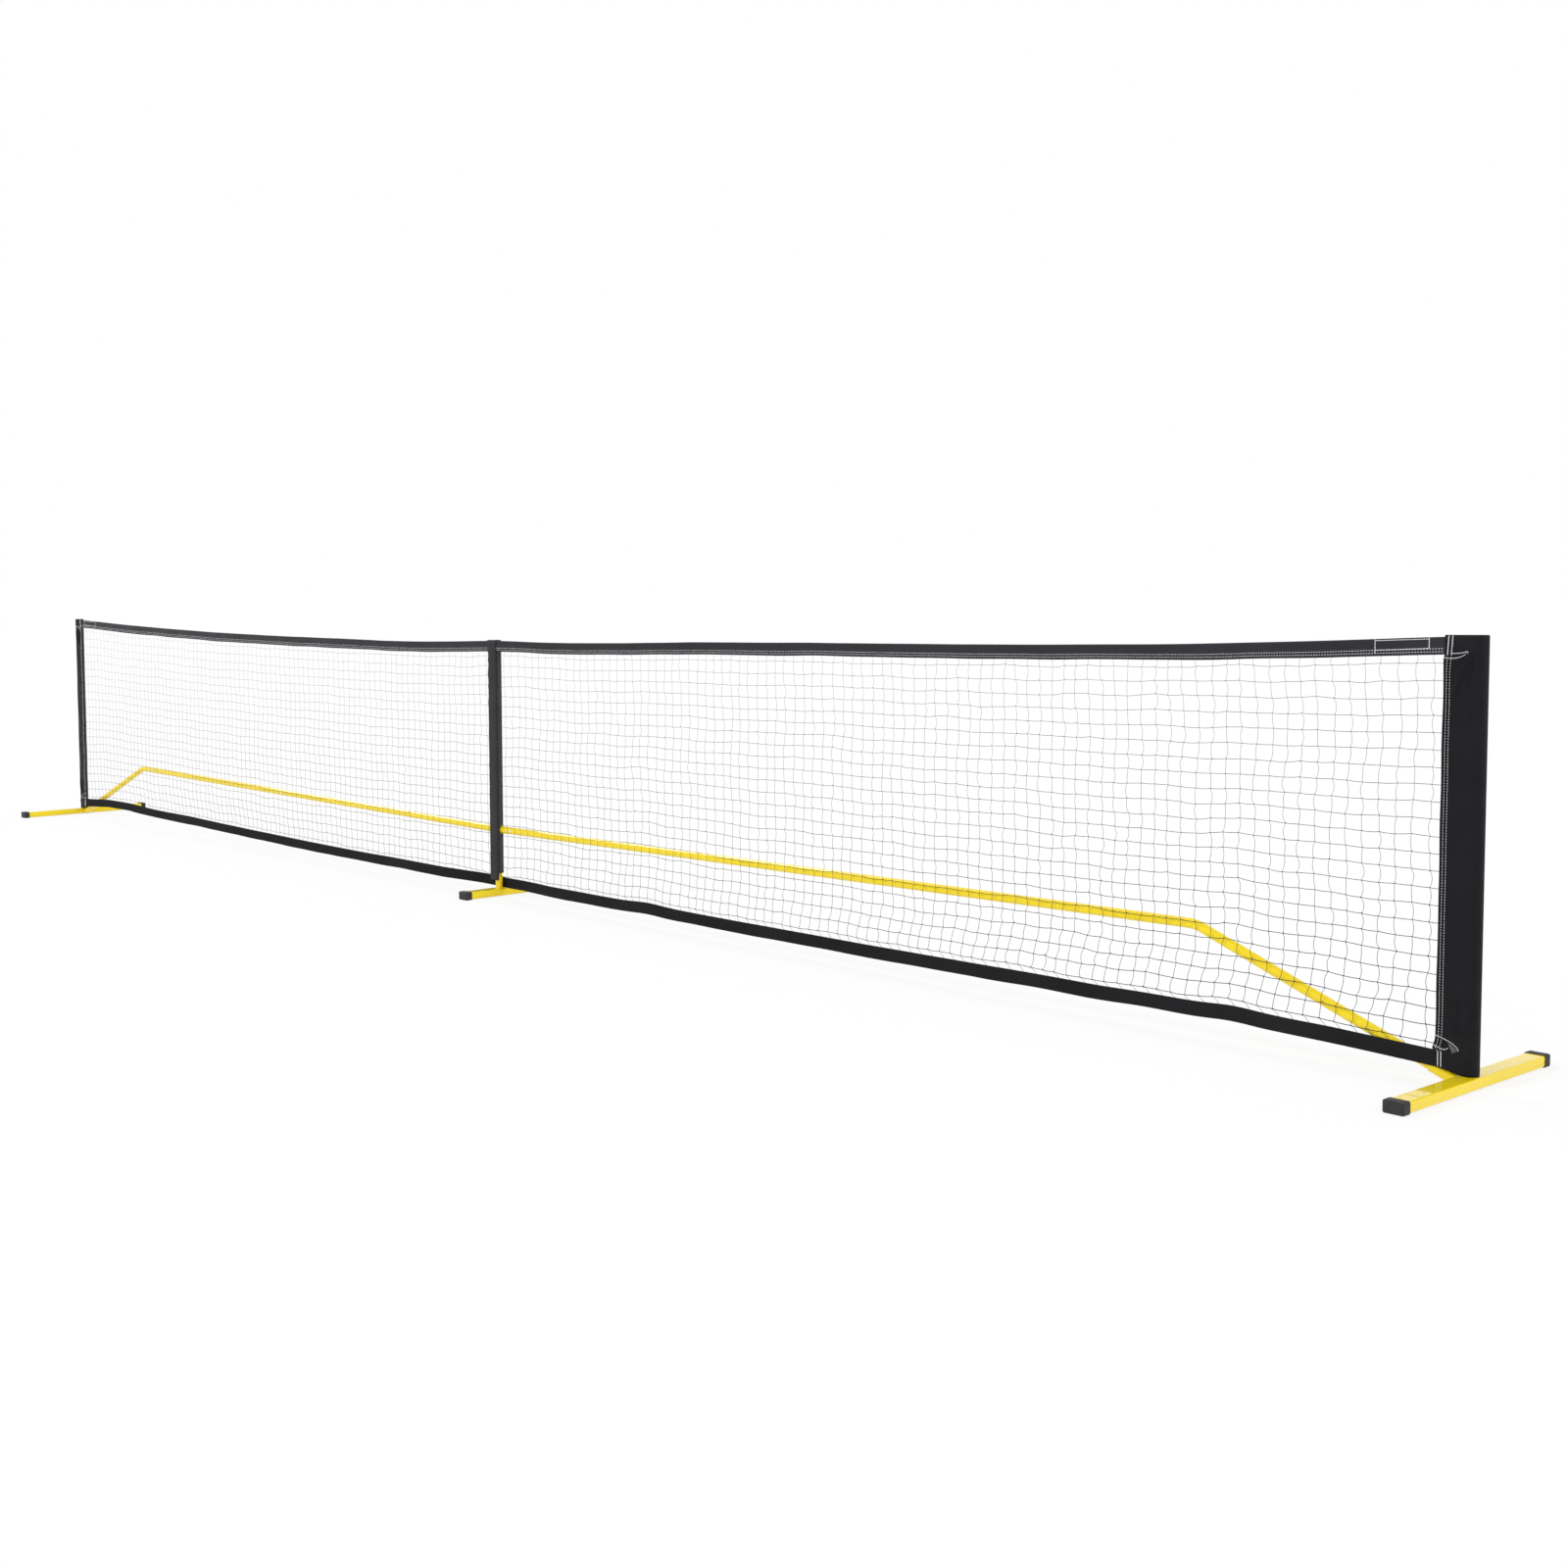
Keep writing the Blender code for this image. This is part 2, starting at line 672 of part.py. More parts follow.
def centre_support(looks):
    """Short foot, upright, tee with two arms, and the pole that holds the net's middle."""
    coat = looks["powder_coat"]
    foot("centre_foot", 0, CENTRE_FOOT_LENGTH, looks)
    pole_top = POLE_CAP_TOP - POLE_CAP_HEIGHT - FIT
    upright_top = BAR_CENTRE_HEIGHT - FIT / 2
    tube(
        "centre_upright",
        (0, 0, FOOT_TOP + FIT),
        (0, 0, upright_top),
        TUBE_RADIUS,
        TUBE_BORE,
        coat,
    )
    tube(
        "centre_pole",
        (0, 0, upright_top + FIT),
        (0, 0, pole_top),
        TUBE_RADIUS,
        TUBE_BORE,
        coat,
    )
    tube_plug("centre_pole_cap", 0, pole_top, looks)
    gusset(looks)
    return tee(looks)


def gusset(looks):
    """Web behind the upright: low under the bottom tape, with a lug behind the tape."""
    start = TUBE_RADIUS + FIT
    end = start + GUSSET_LENGTH
    lug = TAPE_BEHIND + SEAM
    floor = FOOT_TOP + FIT
    outline = [(start, floor), (end, floor)]
    for centre, turn in ((end - GUSSET_ROUND, 0), (lug + GUSSET_ROUND, 90)):
        for i in range(4):
            angle = math.radians(turn + 30 * i)
            across = centre + GUSSET_ROUND * math.cos(angle)
            up = floor + GUSSET_HIGH - GUSSET_ROUND + GUSSET_ROUND * math.sin(angle)
            outline.append((across, up))
    outline += [(lug, floor + GUSSET_LOW), (start, floor + GUSSET_LOW)]
    prism(
        "centre_gusset",
        outline,
        "X",
        -GUSSET_THICKNESS / 2,
        GUSSET_THICKNESS / 2,
        looks["powder_coat"],
    )


def tee(looks):
    """Upright sleeve with an arm each way, the arms necked to plug into the inner bars."""
    coat = looks["powder_coat"]
    low = BAR_CENTRE_HEIGHT - TEE_HEIGHT / 2
    high = BAR_CENTRE_HEIGHT + TEE_HEIGHT / 2
    body = rod("centre_tee", (0, 0, low), (0, 0, high), SOCKET_RADIUS, coat)
    for side, word in ((-1, "left"), (1, "right")):
        along = bar_point(side, 1) - bar_point(side, 0)
        collar = TEE_COLLAR_REACH * along.length
        tip = collar + PLUG_LENGTH
        arm = turned(
            f"{word}_tee_arm",
            [
                (0, 0),
                (0, TUBE_RADIUS),
                (collar - PLUG_SHOULDER, TUBE_RADIUS),
                (collar, PLUG_RADIUS),
                (tip, PLUG_RADIUS),
                (tip, PLUG_BORE),
                (SOCKET_RADIUS, PLUG_BORE),
                (SOCKET_RADIUS, 0),
            ],
            bar_point(side, 0),
            along,
            coat,
        )
        unite(body, arm)
    bore = rod("tee_bore", (0, 0, low - FIT), (0, 0, high + FIT), SOCKET_BORE, coat)
    subtract(body, bore)
    return body


# ---- net ---------------------------------------------------------------------------------

def tape_stations(reach):
    """X positions along a tape, closer together near the middle."""
    half = [reach * (i / TAPE_STATIONS) ** 1.5 for i in range(1, TAPE_STATIONS + 1)]
    return [-x for x in reversed(half)] + [0.0] + half


def tape(name, reach, height, edge, front, look):
    """A flat tape: edge gives its lower edge's height, front its middle's Y."""
    bm = bmesh.new()
    sections = []
    for x in tape_stations(reach):
        low = edge(x)
        y = front(x)
        corners = (
            (y - SEAM / 2, low),
            (y + SEAM / 2, low),
            (y + SEAM / 2, low + height),
            (y - SEAM / 2, low + height),
        )
        sections.append([bm.verts.new((x, v, w)) for v, w in corners])
    for a, b in zip(sections, sections[1:]):
        bridge(bm, a, b)
    bm.faces.new(sections[0])
    bm.faces.new(sections[-1])
    finish(name, bm, look)


def behind_pole(x):
    """Y of the bottom tape, which passes behind the centre upright."""
    t = max(0.0, 1 - abs(x) / TAPE_DETOUR)
    ease = t * t * (3 - 2 * t)
    return -NET_FRONT + (NET_FRONT + TAPE_BEHIND) * ease


def sleeve(word, side, looks):
    """Side sleeve: a pocket round the post, its layers sewn together towards the net."""
    x = POST_X

    def arc(radius):
        steps = 10
        span = 90 + SLEEVE_ARC_END
        angles = [math.radians(-90 + span * i / steps) for i in range(steps + 1)]
        return [(x + radius * math.cos(a), radius * math.sin(a)) for a in angles]

    outer = [(SLEEVE_INNER_X, SEAM_BACK), (SLEEVE_INNER_X, SEAM_FRONT), *arc(SLEEVE_RADIUS)]
    outer.append((x - SEAM_REACH, SEAM_BACK))
    inner = [(x - 0.8 * SEAM_REACH, SEAM_FRONT + FABRIC), *arc(SLEEVE_BORE)]
    outer = [(side * u, v) for u, v in outer]
    inner = [(side * u, v) for u, v in inner]
    made = prism(f"{word}_sleeve", outer, "Z", SLEEVE_BOTTOM, SLEEVE_TOP, looks["fabric"])
    pocket = prism(
        f"{word}_sleeve_pocket",
        inner,
        "Z",
        SLEEVE_BOTTOM - FABRIC,
        SLEEVE_TOP - FABRIC,
        looks["fabric"],
    )
    notch = rod(
        f"{word}_sleeve_notch",
        diagonal_point(side, SOCKET_MOUTH_X - SOCKET_RADIUS),
        diagonal_point(side, POST_X),
        SOCKET_RADIUS + SLEEVE_NOTCH,
        looks["fabric"],
    )
    slope = prism(
        f"{word}_sleeve_slope",
        [
            (side * (HALF_WIDTH - SLEEVE_BOTTOM_FLAT), SLEEVE_BOTTOM),
            (side * (SLEEVE_INNER_X - FABRIC), SLEEVE_BOTTOM + SLEEVE_BOTTOM_RISE),
            (side * (SLEEVE_INNER_X - FABRIC), SLEEVE_BOTTOM - FABRIC),
            (side * (HALF_WIDTH - SLEEVE_BOTTOM_FLAT), SLEEVE_BOTTOM - FABRIC),
        ],
        "Y",
        -2 * SLEEVE_RADIUS,
        2 * SLEEVE_RADIUS,
        looks["fabric"],
    )
    subtract(made, pocket)
    subtract(made, notch)
    subtract(made, slope)


def band_back(radius, edge_y):
    """The band's back layer from above: from one side edge, round the pole, to the other."""
    edge_x = BAND_WIDTH / 2
    first = math.atan2(edge_y, edge_x) + math.acos(radius / math.hypot(edge_x, edge_y))
    points = [(edge_x, edge_y)]
    for i in range(BAND_ARC_STEPS + 1):
        angle = first + (math.pi - 2 * first) * i / BAND_ARC_STEPS
        points.append((radius * math.cos(angle), radius * math.sin(angle)))
    points.append((-edge_x, edge_y))
    return points


def centre_band(looks):
    """Strap folded over the top tape and the pole.

    Its front layer hangs flat before the net, and its back layer wraps the pole.
    """
    half = BAND_WIDTH / 2
    front = SEAM_FRONT - BAND_GAP
    ceiling = NET_CENTRE_HEIGHT + BAND_GAP
    top = ceiling + BAND_FABRIC
    radius = SOCKET_RADIUS + BAND_GAP
    edge_y = SEAM_BACK + BAND_GAP
    bm = bmesh.new()

    def column(x, y, *levels):
        return [bm.verts.new((x, y, z)) for z in levels]

    a = column(-half, front - BAND_FABRIC, BAND_FRONT_BOTTOM, top)
    b = column(half, front - BAND_FABRIC, BAND_FRONT_BOTTOM, top)
    c = column(half, front, BAND_FRONT_BOTTOM, ceiling, top)
    d = column(-half, front, BAND_FRONT_BOTTOM, ceiling, top)
    inner = []
    for x, y in band_back(radius, edge_y):
        at_edge = abs(x) == half
        levels = (BAND_BACK_BOTTOM, ceiling, top) if at_edge else (BAND_BACK_BOTTOM, ceiling)
        inner.append(column(x, y, *levels))
    outer = []
    for x, y in band_back(radius + BAND_FABRIC, edge_y + BAND_FABRIC):
        outer.append(column(x, y, BAND_BACK_BOTTOM, top))
    bm.faces.new((a[0], b[0], b[1], a[1]))
    bm.faces.new((c[0], d[0], d[1], c[1]))
    bm.faces.new((a[0], b[0], c[0], d[0]))
    bm.faces.new((b[0], c[0], c[1], c[2], b[1]))
    bm.faces.new((a[0], d[0], d[1], d[2], a[1]))
    for i in range(len(inner) - 1):
        j = i + 1
        bm.faces.new((inner[i][0], inner[j][0], inner[j][1], inner[i][1]))
        bm.faces.new((outer[i][0], outer[j][0], outer[j][1], outer[i][1]))
        bm.faces.new((inner[i][0], inner[j][0], outer[j][0], outer[i][0]))
    for near, inside, outside in ((c, inner[0], outer[0]), (d, inner[-1], outer[-1])):
        bm.faces.new((inside[0], outside[0], outside[1], inside[2], inside[1]))
        bm.faces.new((near[1], inside[1], inside[2], near[2]))
    bm.faces.new([c[1], d[1]] + [pair[1] for pair in reversed(inner)])
    rim = [a[1], b[1], c[2], inner[0][2]] + [pair[1] for pair in outer]
    bm.faces.new(rim + [inner[-1][2], d[2]])
    band = finish("centre_band", bm, looks["fabric"])
    for side, word in ((-1, "left"), (1, "right")):
        arm = rod(
            f"{word}_band_slot",
            bar_point(side, TUBE_RADIUS / 2),
            bar_point(side, BAND_WIDTH),
            TUBE_RADIUS + BAND_ARM_GAP,
            looks["fabric"],
        )
        subtract(band, arm)


def net_mesh(looks):
    """The net as one lattice of cords, knotted where they cross.

    Its border cords lie along the tapes and the sleeves.
    """
    reach = SLEEVE_INNER_X - FIT
    bm = bmesh.new()
    columns, rows = [], []
    for i in range(NET_COLUMNS + 1):
        middle = -reach + CORD / 2 + (2 * reach - CORD) * i / NET_COLUMNS
        columns += [middle - CORD / 2, middle + CORD / 2]
    for j in range(NET_ROWS + 1):
        rows += [(j, -1), (j, 1)]

    def height(x, row):
        j, edge = row
        low = bottom_edge(x) + BOTTOM_TAPE + FIT + CORD / 2
        high = top_edge(x) - TOP_TAPE - FIT - CORD / 2
        return low + (high - low) * j / NET_ROWS + edge * CORD / 2

    layers = []
    for y in (-NET_FRONT - CORD / 2, -NET_FRONT + CORD / 2):
        layers.append([[bm.verts.new((x, y, height(x, row))) for row in rows] for x in columns])
    solid = set()
    for i in range(len(columns) - 1):
        for j in range(len(rows) - 1):
            if i % 2 == 0 or j % 2 == 0:
                solid.add((i, j))
    for i, j in solid:
        for grid in layers:
            bm.faces.new((grid[i][j], grid[i + 1][j], grid[i + 1][j + 1], grid[i][j + 1]))
        edges = (
            ((i, j - 1), (i, j), (i + 1, j)),
            ((i, j + 1), (i, j + 1), (i + 1, j + 1)),
            ((i - 1, j), (i, j), (i, j + 1)),
            ((i + 1, j), (i + 1, j), (i + 1, j + 1)),
        )
        for neighbour, a, b in edges:
            if neighbour not in solid:
                front, back = layers
                bm.faces.new((
                    front[a[0]][a[1]],
                    front[b[0]][b[1]],
                    back[b[0]][b[1]],
                    back[a[0]][a[1]],
                ))
    finish("net_mesh", bm, looks["net_cord"])


def corner_ties(word, side, looks):
    """Short cords that draw the net's corners into the sleeve, one high and one low."""
    front = SEAM_FRONT - TIE_RADIUS - FIT
    start_x = SLEEVE_INNER_X + TIE_START
    top_z = top_edge(side * start_x) - TOP_TAPE - TOP_TIE_DROP
    bottom_z = bottom_edge(side * start_x) + BOTTOM_TAPE + BOTTOM_TIE_LIFT
    for place, start_z, rise in (("top", top_z, TOP_TIE_RISE), ("bottom", bottom_z, -BOTTOM_TIE_FALL)):
        bm = bmesh.new()
        rings = []
        for i in range(TIE_POINTS):
            t = i / (TIE_POINTS - 1)
            point = Vector((side * (start_x + TIE_REACH * t), front, start_z + rise * t * t))
            rings.append(ring_across(bm, point, TIE_RADIUS, 8))
        for a, b in zip(rings, rings[1:]):
            bridge(bm, a, b)
        bm.faces.new(rings[0])
        bm.faces.new(rings[-1])
        finish(f"{word}_{place}_tie", bm, looks["tie_cord"])


def ring_across(bm, point, radius, sides):
    """A ring of vertices in a plane of constant X."""
    ring = []
    for i in range(sides):
        angle = 2 * math.pi * (i + 0.5) / sides
        offset = Vector((0, math.cos(angle) * radius, math.sin(angle) * radius))
        ring.append(bm.verts.new(point + offset))
    return ring


def net(looks):
    reach = SLEEVE_INNER_X - FIT
    net_mesh(looks)
    tape(
        "top_tape",
        reach,
        TOP_TAPE,
        lambda x: top_edge(x) - TOP_TAPE,
        lambda x: -NET_FRONT,
        looks["fabric"],
    )
    tape("bottom_tape", reach, BOTTOM_TAPE, bottom_edge, behind_pole, looks["fabric"])
    centre_band(looks)


# ---- whole ---------------------------------------------------------------------------------

def main():
    for old in list(bpy.data.objects):
        bpy.data.objects.remove(old, do_unlink=True)
    looks = make_materials()
    tee_body = centre_support(looks)
    for word, side in (("left", -1), ("right", 1)):
        end_base(word, side, looks)
        end_post(word, side, looks)
        inner, outer, corner = bars(word, side, looks)
        # The two halves are one half turned about Z, so their buttons face opposite ways.
        snap_button(f"{word}_tee_button", side, TEE_COLLAR_REACH, -side, tee_body, inner, looks)
        snap_button(f"{word}_middle_button", side, MIDDLE_JOINT_X, side, inner, outer, looks)
        snap_button(f"{word}_corner_button", side, CORNER_JOINT_X, side, outer, corner, looks)
        sleeve(word, side, looks)
        corner_ties(word, side, looks)
    net(looks)


main()
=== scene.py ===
"""Looks of the portable court net: cords, fabric, stitching, coated steel, light and camera.

Everything is in metres, in the frame's own axes: X along the net, -Y in front, Z up.
"""

import json
import math
import random

import bmesh
import bpy
import numpy as np
from mathutils import Matrix, Vector


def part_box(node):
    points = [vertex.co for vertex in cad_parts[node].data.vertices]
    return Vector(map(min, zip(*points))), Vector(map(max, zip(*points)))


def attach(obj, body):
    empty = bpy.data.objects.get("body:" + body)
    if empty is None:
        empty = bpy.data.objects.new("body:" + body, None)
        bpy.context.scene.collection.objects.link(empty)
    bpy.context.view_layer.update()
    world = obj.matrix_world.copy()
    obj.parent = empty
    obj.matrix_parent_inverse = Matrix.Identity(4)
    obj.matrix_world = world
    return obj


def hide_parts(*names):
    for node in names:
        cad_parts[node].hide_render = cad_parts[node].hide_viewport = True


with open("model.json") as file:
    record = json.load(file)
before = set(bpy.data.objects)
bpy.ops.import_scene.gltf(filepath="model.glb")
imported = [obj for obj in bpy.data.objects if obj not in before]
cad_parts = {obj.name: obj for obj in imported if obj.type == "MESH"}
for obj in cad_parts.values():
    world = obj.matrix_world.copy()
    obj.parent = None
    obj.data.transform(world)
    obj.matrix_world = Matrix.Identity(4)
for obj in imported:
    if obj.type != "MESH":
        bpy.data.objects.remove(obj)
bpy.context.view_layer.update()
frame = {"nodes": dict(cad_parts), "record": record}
NODES = frame["nodes"]
ROOT = "frame"

# ---- sizes ---------------------------------------------------------------------------

CELL_WIDTH = 0.0365        # the net's mesh
ROWS = 23
ROW_POINTS = 4             # points along a cord between two knots
COLUMN_POINTS = 4
ROW_CORD = 0.00054         # radii, half way along the net
COLUMN_CORD = 0.00037
CORD_SIDES = 5
FIRST_ROW = 0.39           # height of the lowest row over the bottom tape, in cells
CELLS_HIGH = ROWS - 0.15   # cells from tape to tape
LEAN = 0.022               # how far the lowest knots lean out towards the posts
BOW = 0.0042               # sideways bow of a column's cord between two knots
KNOT = 0.0012
FABRIC = 0.0012            # one layer of cloth
STITCH_PITCH = 0.0062
STITCH_LENGTH = 0.0040
THREAD = 0.00058           # radii of the threads, in fine seams
TAPE_THREAD = 0.0007       # in the top tape's two rows
BOX_THREAD = 0.0009        # in the stitched boxes at its ends
TACK_THREAD = 0.0011       # in the sleeves' zigzag tacks
TIE = 0.0009               # radius of the corner cords
TOP_RUN_ON = 0.0024        # how far the top tape runs on to meet the sleeves

# ---- helpers -------------------------------------------------------------------------


def smooth(t):
    t = np.clip(t, 0, 1)
    return t * t * (3 - 2 * t)


class Wobble:
    """A smooth pseudo-random line: a few sines with seeded phases, about -1 to 1."""

    def __init__(self, seed, longest, count=4):
        draw = random.Random(seed)
        self.waves = []
        for k in range(count):
            length = longest / (1.0 + 0.85 * k) * draw.uniform(0.85, 1.15)
            self.waves.append((2 * math.pi / length, draw.uniform(0, 6.28), 0.8 ** k))
        self.total = sum(w[2] for w in self.waves) ** 0.5

    def __call__(self, x):
        return sum(a * np.sin(k * x + p) for k, p, a in self.waves) / self.total


def node_points(name):
    """A CAD node's vertices as an array."""
    mesh = NODES[name].data
    points = np.empty(len(mesh.vertices) * 3)
    mesh.vertices.foreach_get("co", points)
    return points.reshape(-1, 3)


class TapeLine:
    """Where a CAD tape runs: lower edge, upper edge and middle plane against X."""

    def __init__(self, name):
        points = node_points(name)
        self.x = np.unique(points[:, 0].round(4))
        low, high, mid = [], [], []
        for x in self.x:
            near = points[abs(points[:, 0] - x) < 2e-4]
            low.append(near[:, 2].min())
            high.append(near[:, 2].max())
            mid.append((near[:, 1].min() + near[:, 1].max()) / 2)
        self.lows, self.highs, self.mids = map(np.array, (low, high, mid))

    def low(self, x):
        return np.interp(x, self.x, self.lows)

    def high(self, x):
        return np.interp(x, self.x, self.highs)

    def mid(self, x):
        return np.interp(x, self.x, self.mids)


def make(name, verts, faces, looks, body=ROOT, sharp=None):
    """A mesh piece that rides on a body."""
    mesh = bpy.data.meshes.new(name)
    mesh.from_pydata([tuple(map(float, v)) for v in verts], [], faces)
    mesh.validate()
    mesh.shade_smooth()
    if sharp:
        mesh.set_sharp_from_angle(angle=math.radians(sharp))
    mesh.materials.append(looks)
    piece = bpy.data.objects.new(name, mesh)
    bpy.context.scene.collection.objects.link(piece)
    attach(piece, body)
    return piece


def grid_faces(rows, cols, first=0, wrap=True):
    """Quads between successive rings of cols vertices."""
    faces = []
    last = cols if wrap else cols - 1
    for i in range(rows - 1):
        a, b = first + i * cols, first + (i + 1) * cols
        for j in range(last):
            k = (j + 1) % cols
            faces.append((a + j, a + k, b + k, b + j))
    return faces


def outward(piece):
    """Turns a closed piece's faces outward."""
    bm = bmesh.new()
    bm.from_mesh(piece.data)
    bmesh.ops.recalc_face_normals(bm, faces=bm.faces)
    bm.to_mesh(piece.data)
    bm.free()


def closed_rings(name, rings, looks, sharp=None):
    """A closed piece from rings of equal size, capped at both ends."""
    rows, cols = len(rings), len(rings[0])
    verts = [p for ring in rings for p in ring]
    faces = grid_faces(rows, cols)
    faces.append(tuple(range(cols)))
    faces.append(tuple(range((rows - 1) * cols, rows * cols)))
    piece = make(name, verts, faces, looks, sharp=sharp)
    outward(piece)
    return piece


# ---- materials -----------------------------------------------------------------------


def maths(tree, operation, a, b):
    """A maths node over two sockets or numbers."""
    made = tree.nodes.new("ShaderNodeMath")
    made.operation = operation
    for socket, value in zip(made.inputs, (a, b)):
        if isinstance(value, (int, float)):
            socket.default_value = value
        else:
            tree.links.new(value, socket)
    return made.outputs["Value"]


class Look:
    """A Principled material with short ways to add noise, weave and bump."""

    def __init__(self, name, colour, roughness, **sockets):
        self.mat = bpy.data.materials.new(name)
        self.mat.use_nodes = True
        self.tree = self.mat.node_tree
        self.shader = self.tree.nodes["Principled BSDF"]
        self.shader.inputs["Base Color"].default_value = (*colour, 1)
        self.shader.inputs["Roughness"].default_value = roughness
        for key, value in sockets.items():
            self.shader.inputs[key.replace("_", " ")].default_value = value
        self.mat.diffuse_color = (*colour, 1)
        self.where = self.node("ShaderNodeTexCoord").outputs["Object"]

    def node(self, kind, **props):
        made = self.tree.nodes.new(kind)
        for key, value in props.items():
            setattr(made, key, value)
        return made

    def link(self, a, b):
        self.tree.links.new(a, b)

    def noise(self, scale, detail=3.0, stretch=None, roughness=0.5):
        where = self.where
        if stretch:
            place = self.node("ShaderNodeMapping")
            place.inputs["Scale"].default_value = stretch
            self.link(where, place.inputs["Vector"])
            where = place.outputs["Vector"]
        made = self.node("ShaderNodeTexNoise")
        made.inputs["Scale"].default_value = scale
        made.inputs["Detail"].default_value = detail
        made.inputs["Roughness"].default_value = roughness
        self.link(where, made.inputs["Vector"])
        return made.outputs["Fac"]

    def ramp(self, value, stops):
        made = self.node("ShaderNodeValToRGB")
        ends = made.color_ramp.elements
        while len(ends) < len(stops):
            ends.new(0.5)
        for end, (at, colour) in zip(ends, stops):
            end.position = at
            end.color = (*colour, 1)
        self.link(value, made.inputs["Fac"])
        return made.outputs["Color"]

    def remap(self, value, low, high, start=0.3, stop=0.7):
        made = self.node("ShaderNodeMapRange")
        ends = {"From Min": start, "From Max": stop, "To Min": low, "To Max": high}
        for key, number in ends.items():
            made.inputs[key].default_value = number
        self.link(value, made.inputs["Value"])
        return made.outputs["Result"]

    def maths(self, operation, a, b):
        return maths(self.tree, operation, a, b)

    def bands(self, axis, period):
        """Straight bands across an axis. The texture's own period is pi / 10 at scale 1."""
        made = self.node(
            "ShaderNodeTexWave", wave_type="BANDS", bands_direction=axis, wave_profile="SIN"
        )
        made.inputs["Scale"].default_value = 2 * math.pi / (20 * period)
        self.link(self.where, made.inputs["Vector"])
        return made.outputs["Fac"]

    def bump(self, height, distance, strength=1.0, after=None):
        made = self.node("ShaderNodeBump")
        made.inputs["Distance"].default_value = distance
        made.inputs["Strength"].default_value = strength
        self.link(height, made.inputs["Height"])
        if after:
            self.link(after, made.inputs["Normal"])
        self.link(made.outputs["Normal"], self.shader.inputs["Normal"])
        return made.outputs["Normal"]

    def colour(self, socket):
        self.link(socket, self.shader.inputs["Base Color"])

    def rough(self, socket):
        self.link(socket, self.shader.inputs["Roughness"])


def powder_coat():
    """Yellow powder coat: thin, glossy, with a faint orange peel."""
    look = Look(
        "yellow_powder_coat",
        (0.90, 0.70, 0.006),
        0.35,
        Specular_IOR_Level=0.10,
        Coat_Weight=1.0,
        Coat_Roughness=0.05,
        Coat_IOR=1.36,
    )
    look.colour(
        look.ramp(
            look.noise(6.0, 4.0),
            [(0.3, (0.90, 0.675, 0.003)), (0.7, (0.94, 0.72, 0.005))],
        )
    )
    look.rough(look.remap(look.noise(35.0, 3.0), 0.26, 0.40))
    peel = look.bump(look.noise(700.0, 2.0), 0.00003, 0.25)
    look.bump(look.noise(45.0, 2.0), 0.00012, 0.20, after=peel)
    return look.mat


def rubber():
    """Matte moulded rubber with a fine grain and scuffs."""
    look = Look("black_rubber", (0.022, 0.022, 0.024), 0.6, Specular_IOR_Level=0.35)
    look.colour(
        look.ramp(
            look.noise(120.0, 5.0, roughness=0.7),
            [(0.35, (0.015, 0.015, 0.017)), (0.75, (0.034, 0.034, 0.037))],
        )
    )
    look.rough(look.remap(look.noise(60.0, 4.0), 0.48, 0.72))
    look.bump(look.noise(1800.0, 3.0), 0.00008, 0.5)
    return look.mat


def plastic():
    look = Look("black_plastic", (0.02, 0.02, 0.02), 0.45)
    look.rough(look.remap(look.noise(200.0), 0.38, 0.52))
    look.bump(look.noise(1200.0), 0.00005, 0.4)
    return look.mat


def cloth(name, dark, light, yarn, gloss, roughness=0.48, sheen=0.0):
    """Plain-woven polyester: crossing yarns, faint colour change and a soft sheen."""
    look = Look(
        name,
        light,
        roughness,
        Specular_IOR_Level=gloss,
        Sheen_Weight=sheen,
        Sheen_Roughness=0.45,
    )
    look.shader.inputs["Sheen Tint"].default_value = (0.8, 0.82, 0.9, 1)
    warp = look.bands("X", yarn)
    weft = look.bands("Z", yarn)
    weave = look.maths("MAXIMUM", warp, weft)
    patches = look.noise(9.0, 5.0, stretch=(0.5, 1.0, 1.0), roughness=0.6)
    shade = look.maths(
        "ADD", look.maths("MULTIPLY", patches, 0.7), look.maths("MULTIPLY", weave, 0.3)
    )
    look.colour(look.ramp(shade, [(0.30, dark), (0.80, light)]))
    look.rough(look.remap(look.noise(40.0, 3.0), roughness - 0.07, roughness + 0.07))
    first = look.bump(weave, 0.00012, 0.5)
    look.bump(look.noise(90.0, 3.0), 0.0006, 0.35, after=first)
    return look.mat


def cord_look(name, dark, light, scale):
    """Laid cord: its colour flecks along the strands."""
    look = Look(name, light, 0.8)
    look.colour(look.ramp(look.noise(scale, 2.0), [(0.35, dark), (0.65, light)]))
    return look.mat


def metal(name, colour, roughness, scale):
    look = Look(name, colour, roughness, Metallic=1.0)
    look.rough(look.remap(look.noise(scale, 3.0), roughness * 0.7, roughness * 1.3))
    look.bump(look.noise(scale * 3, 2.0), 0.00003, 0.4)
    return look.mat


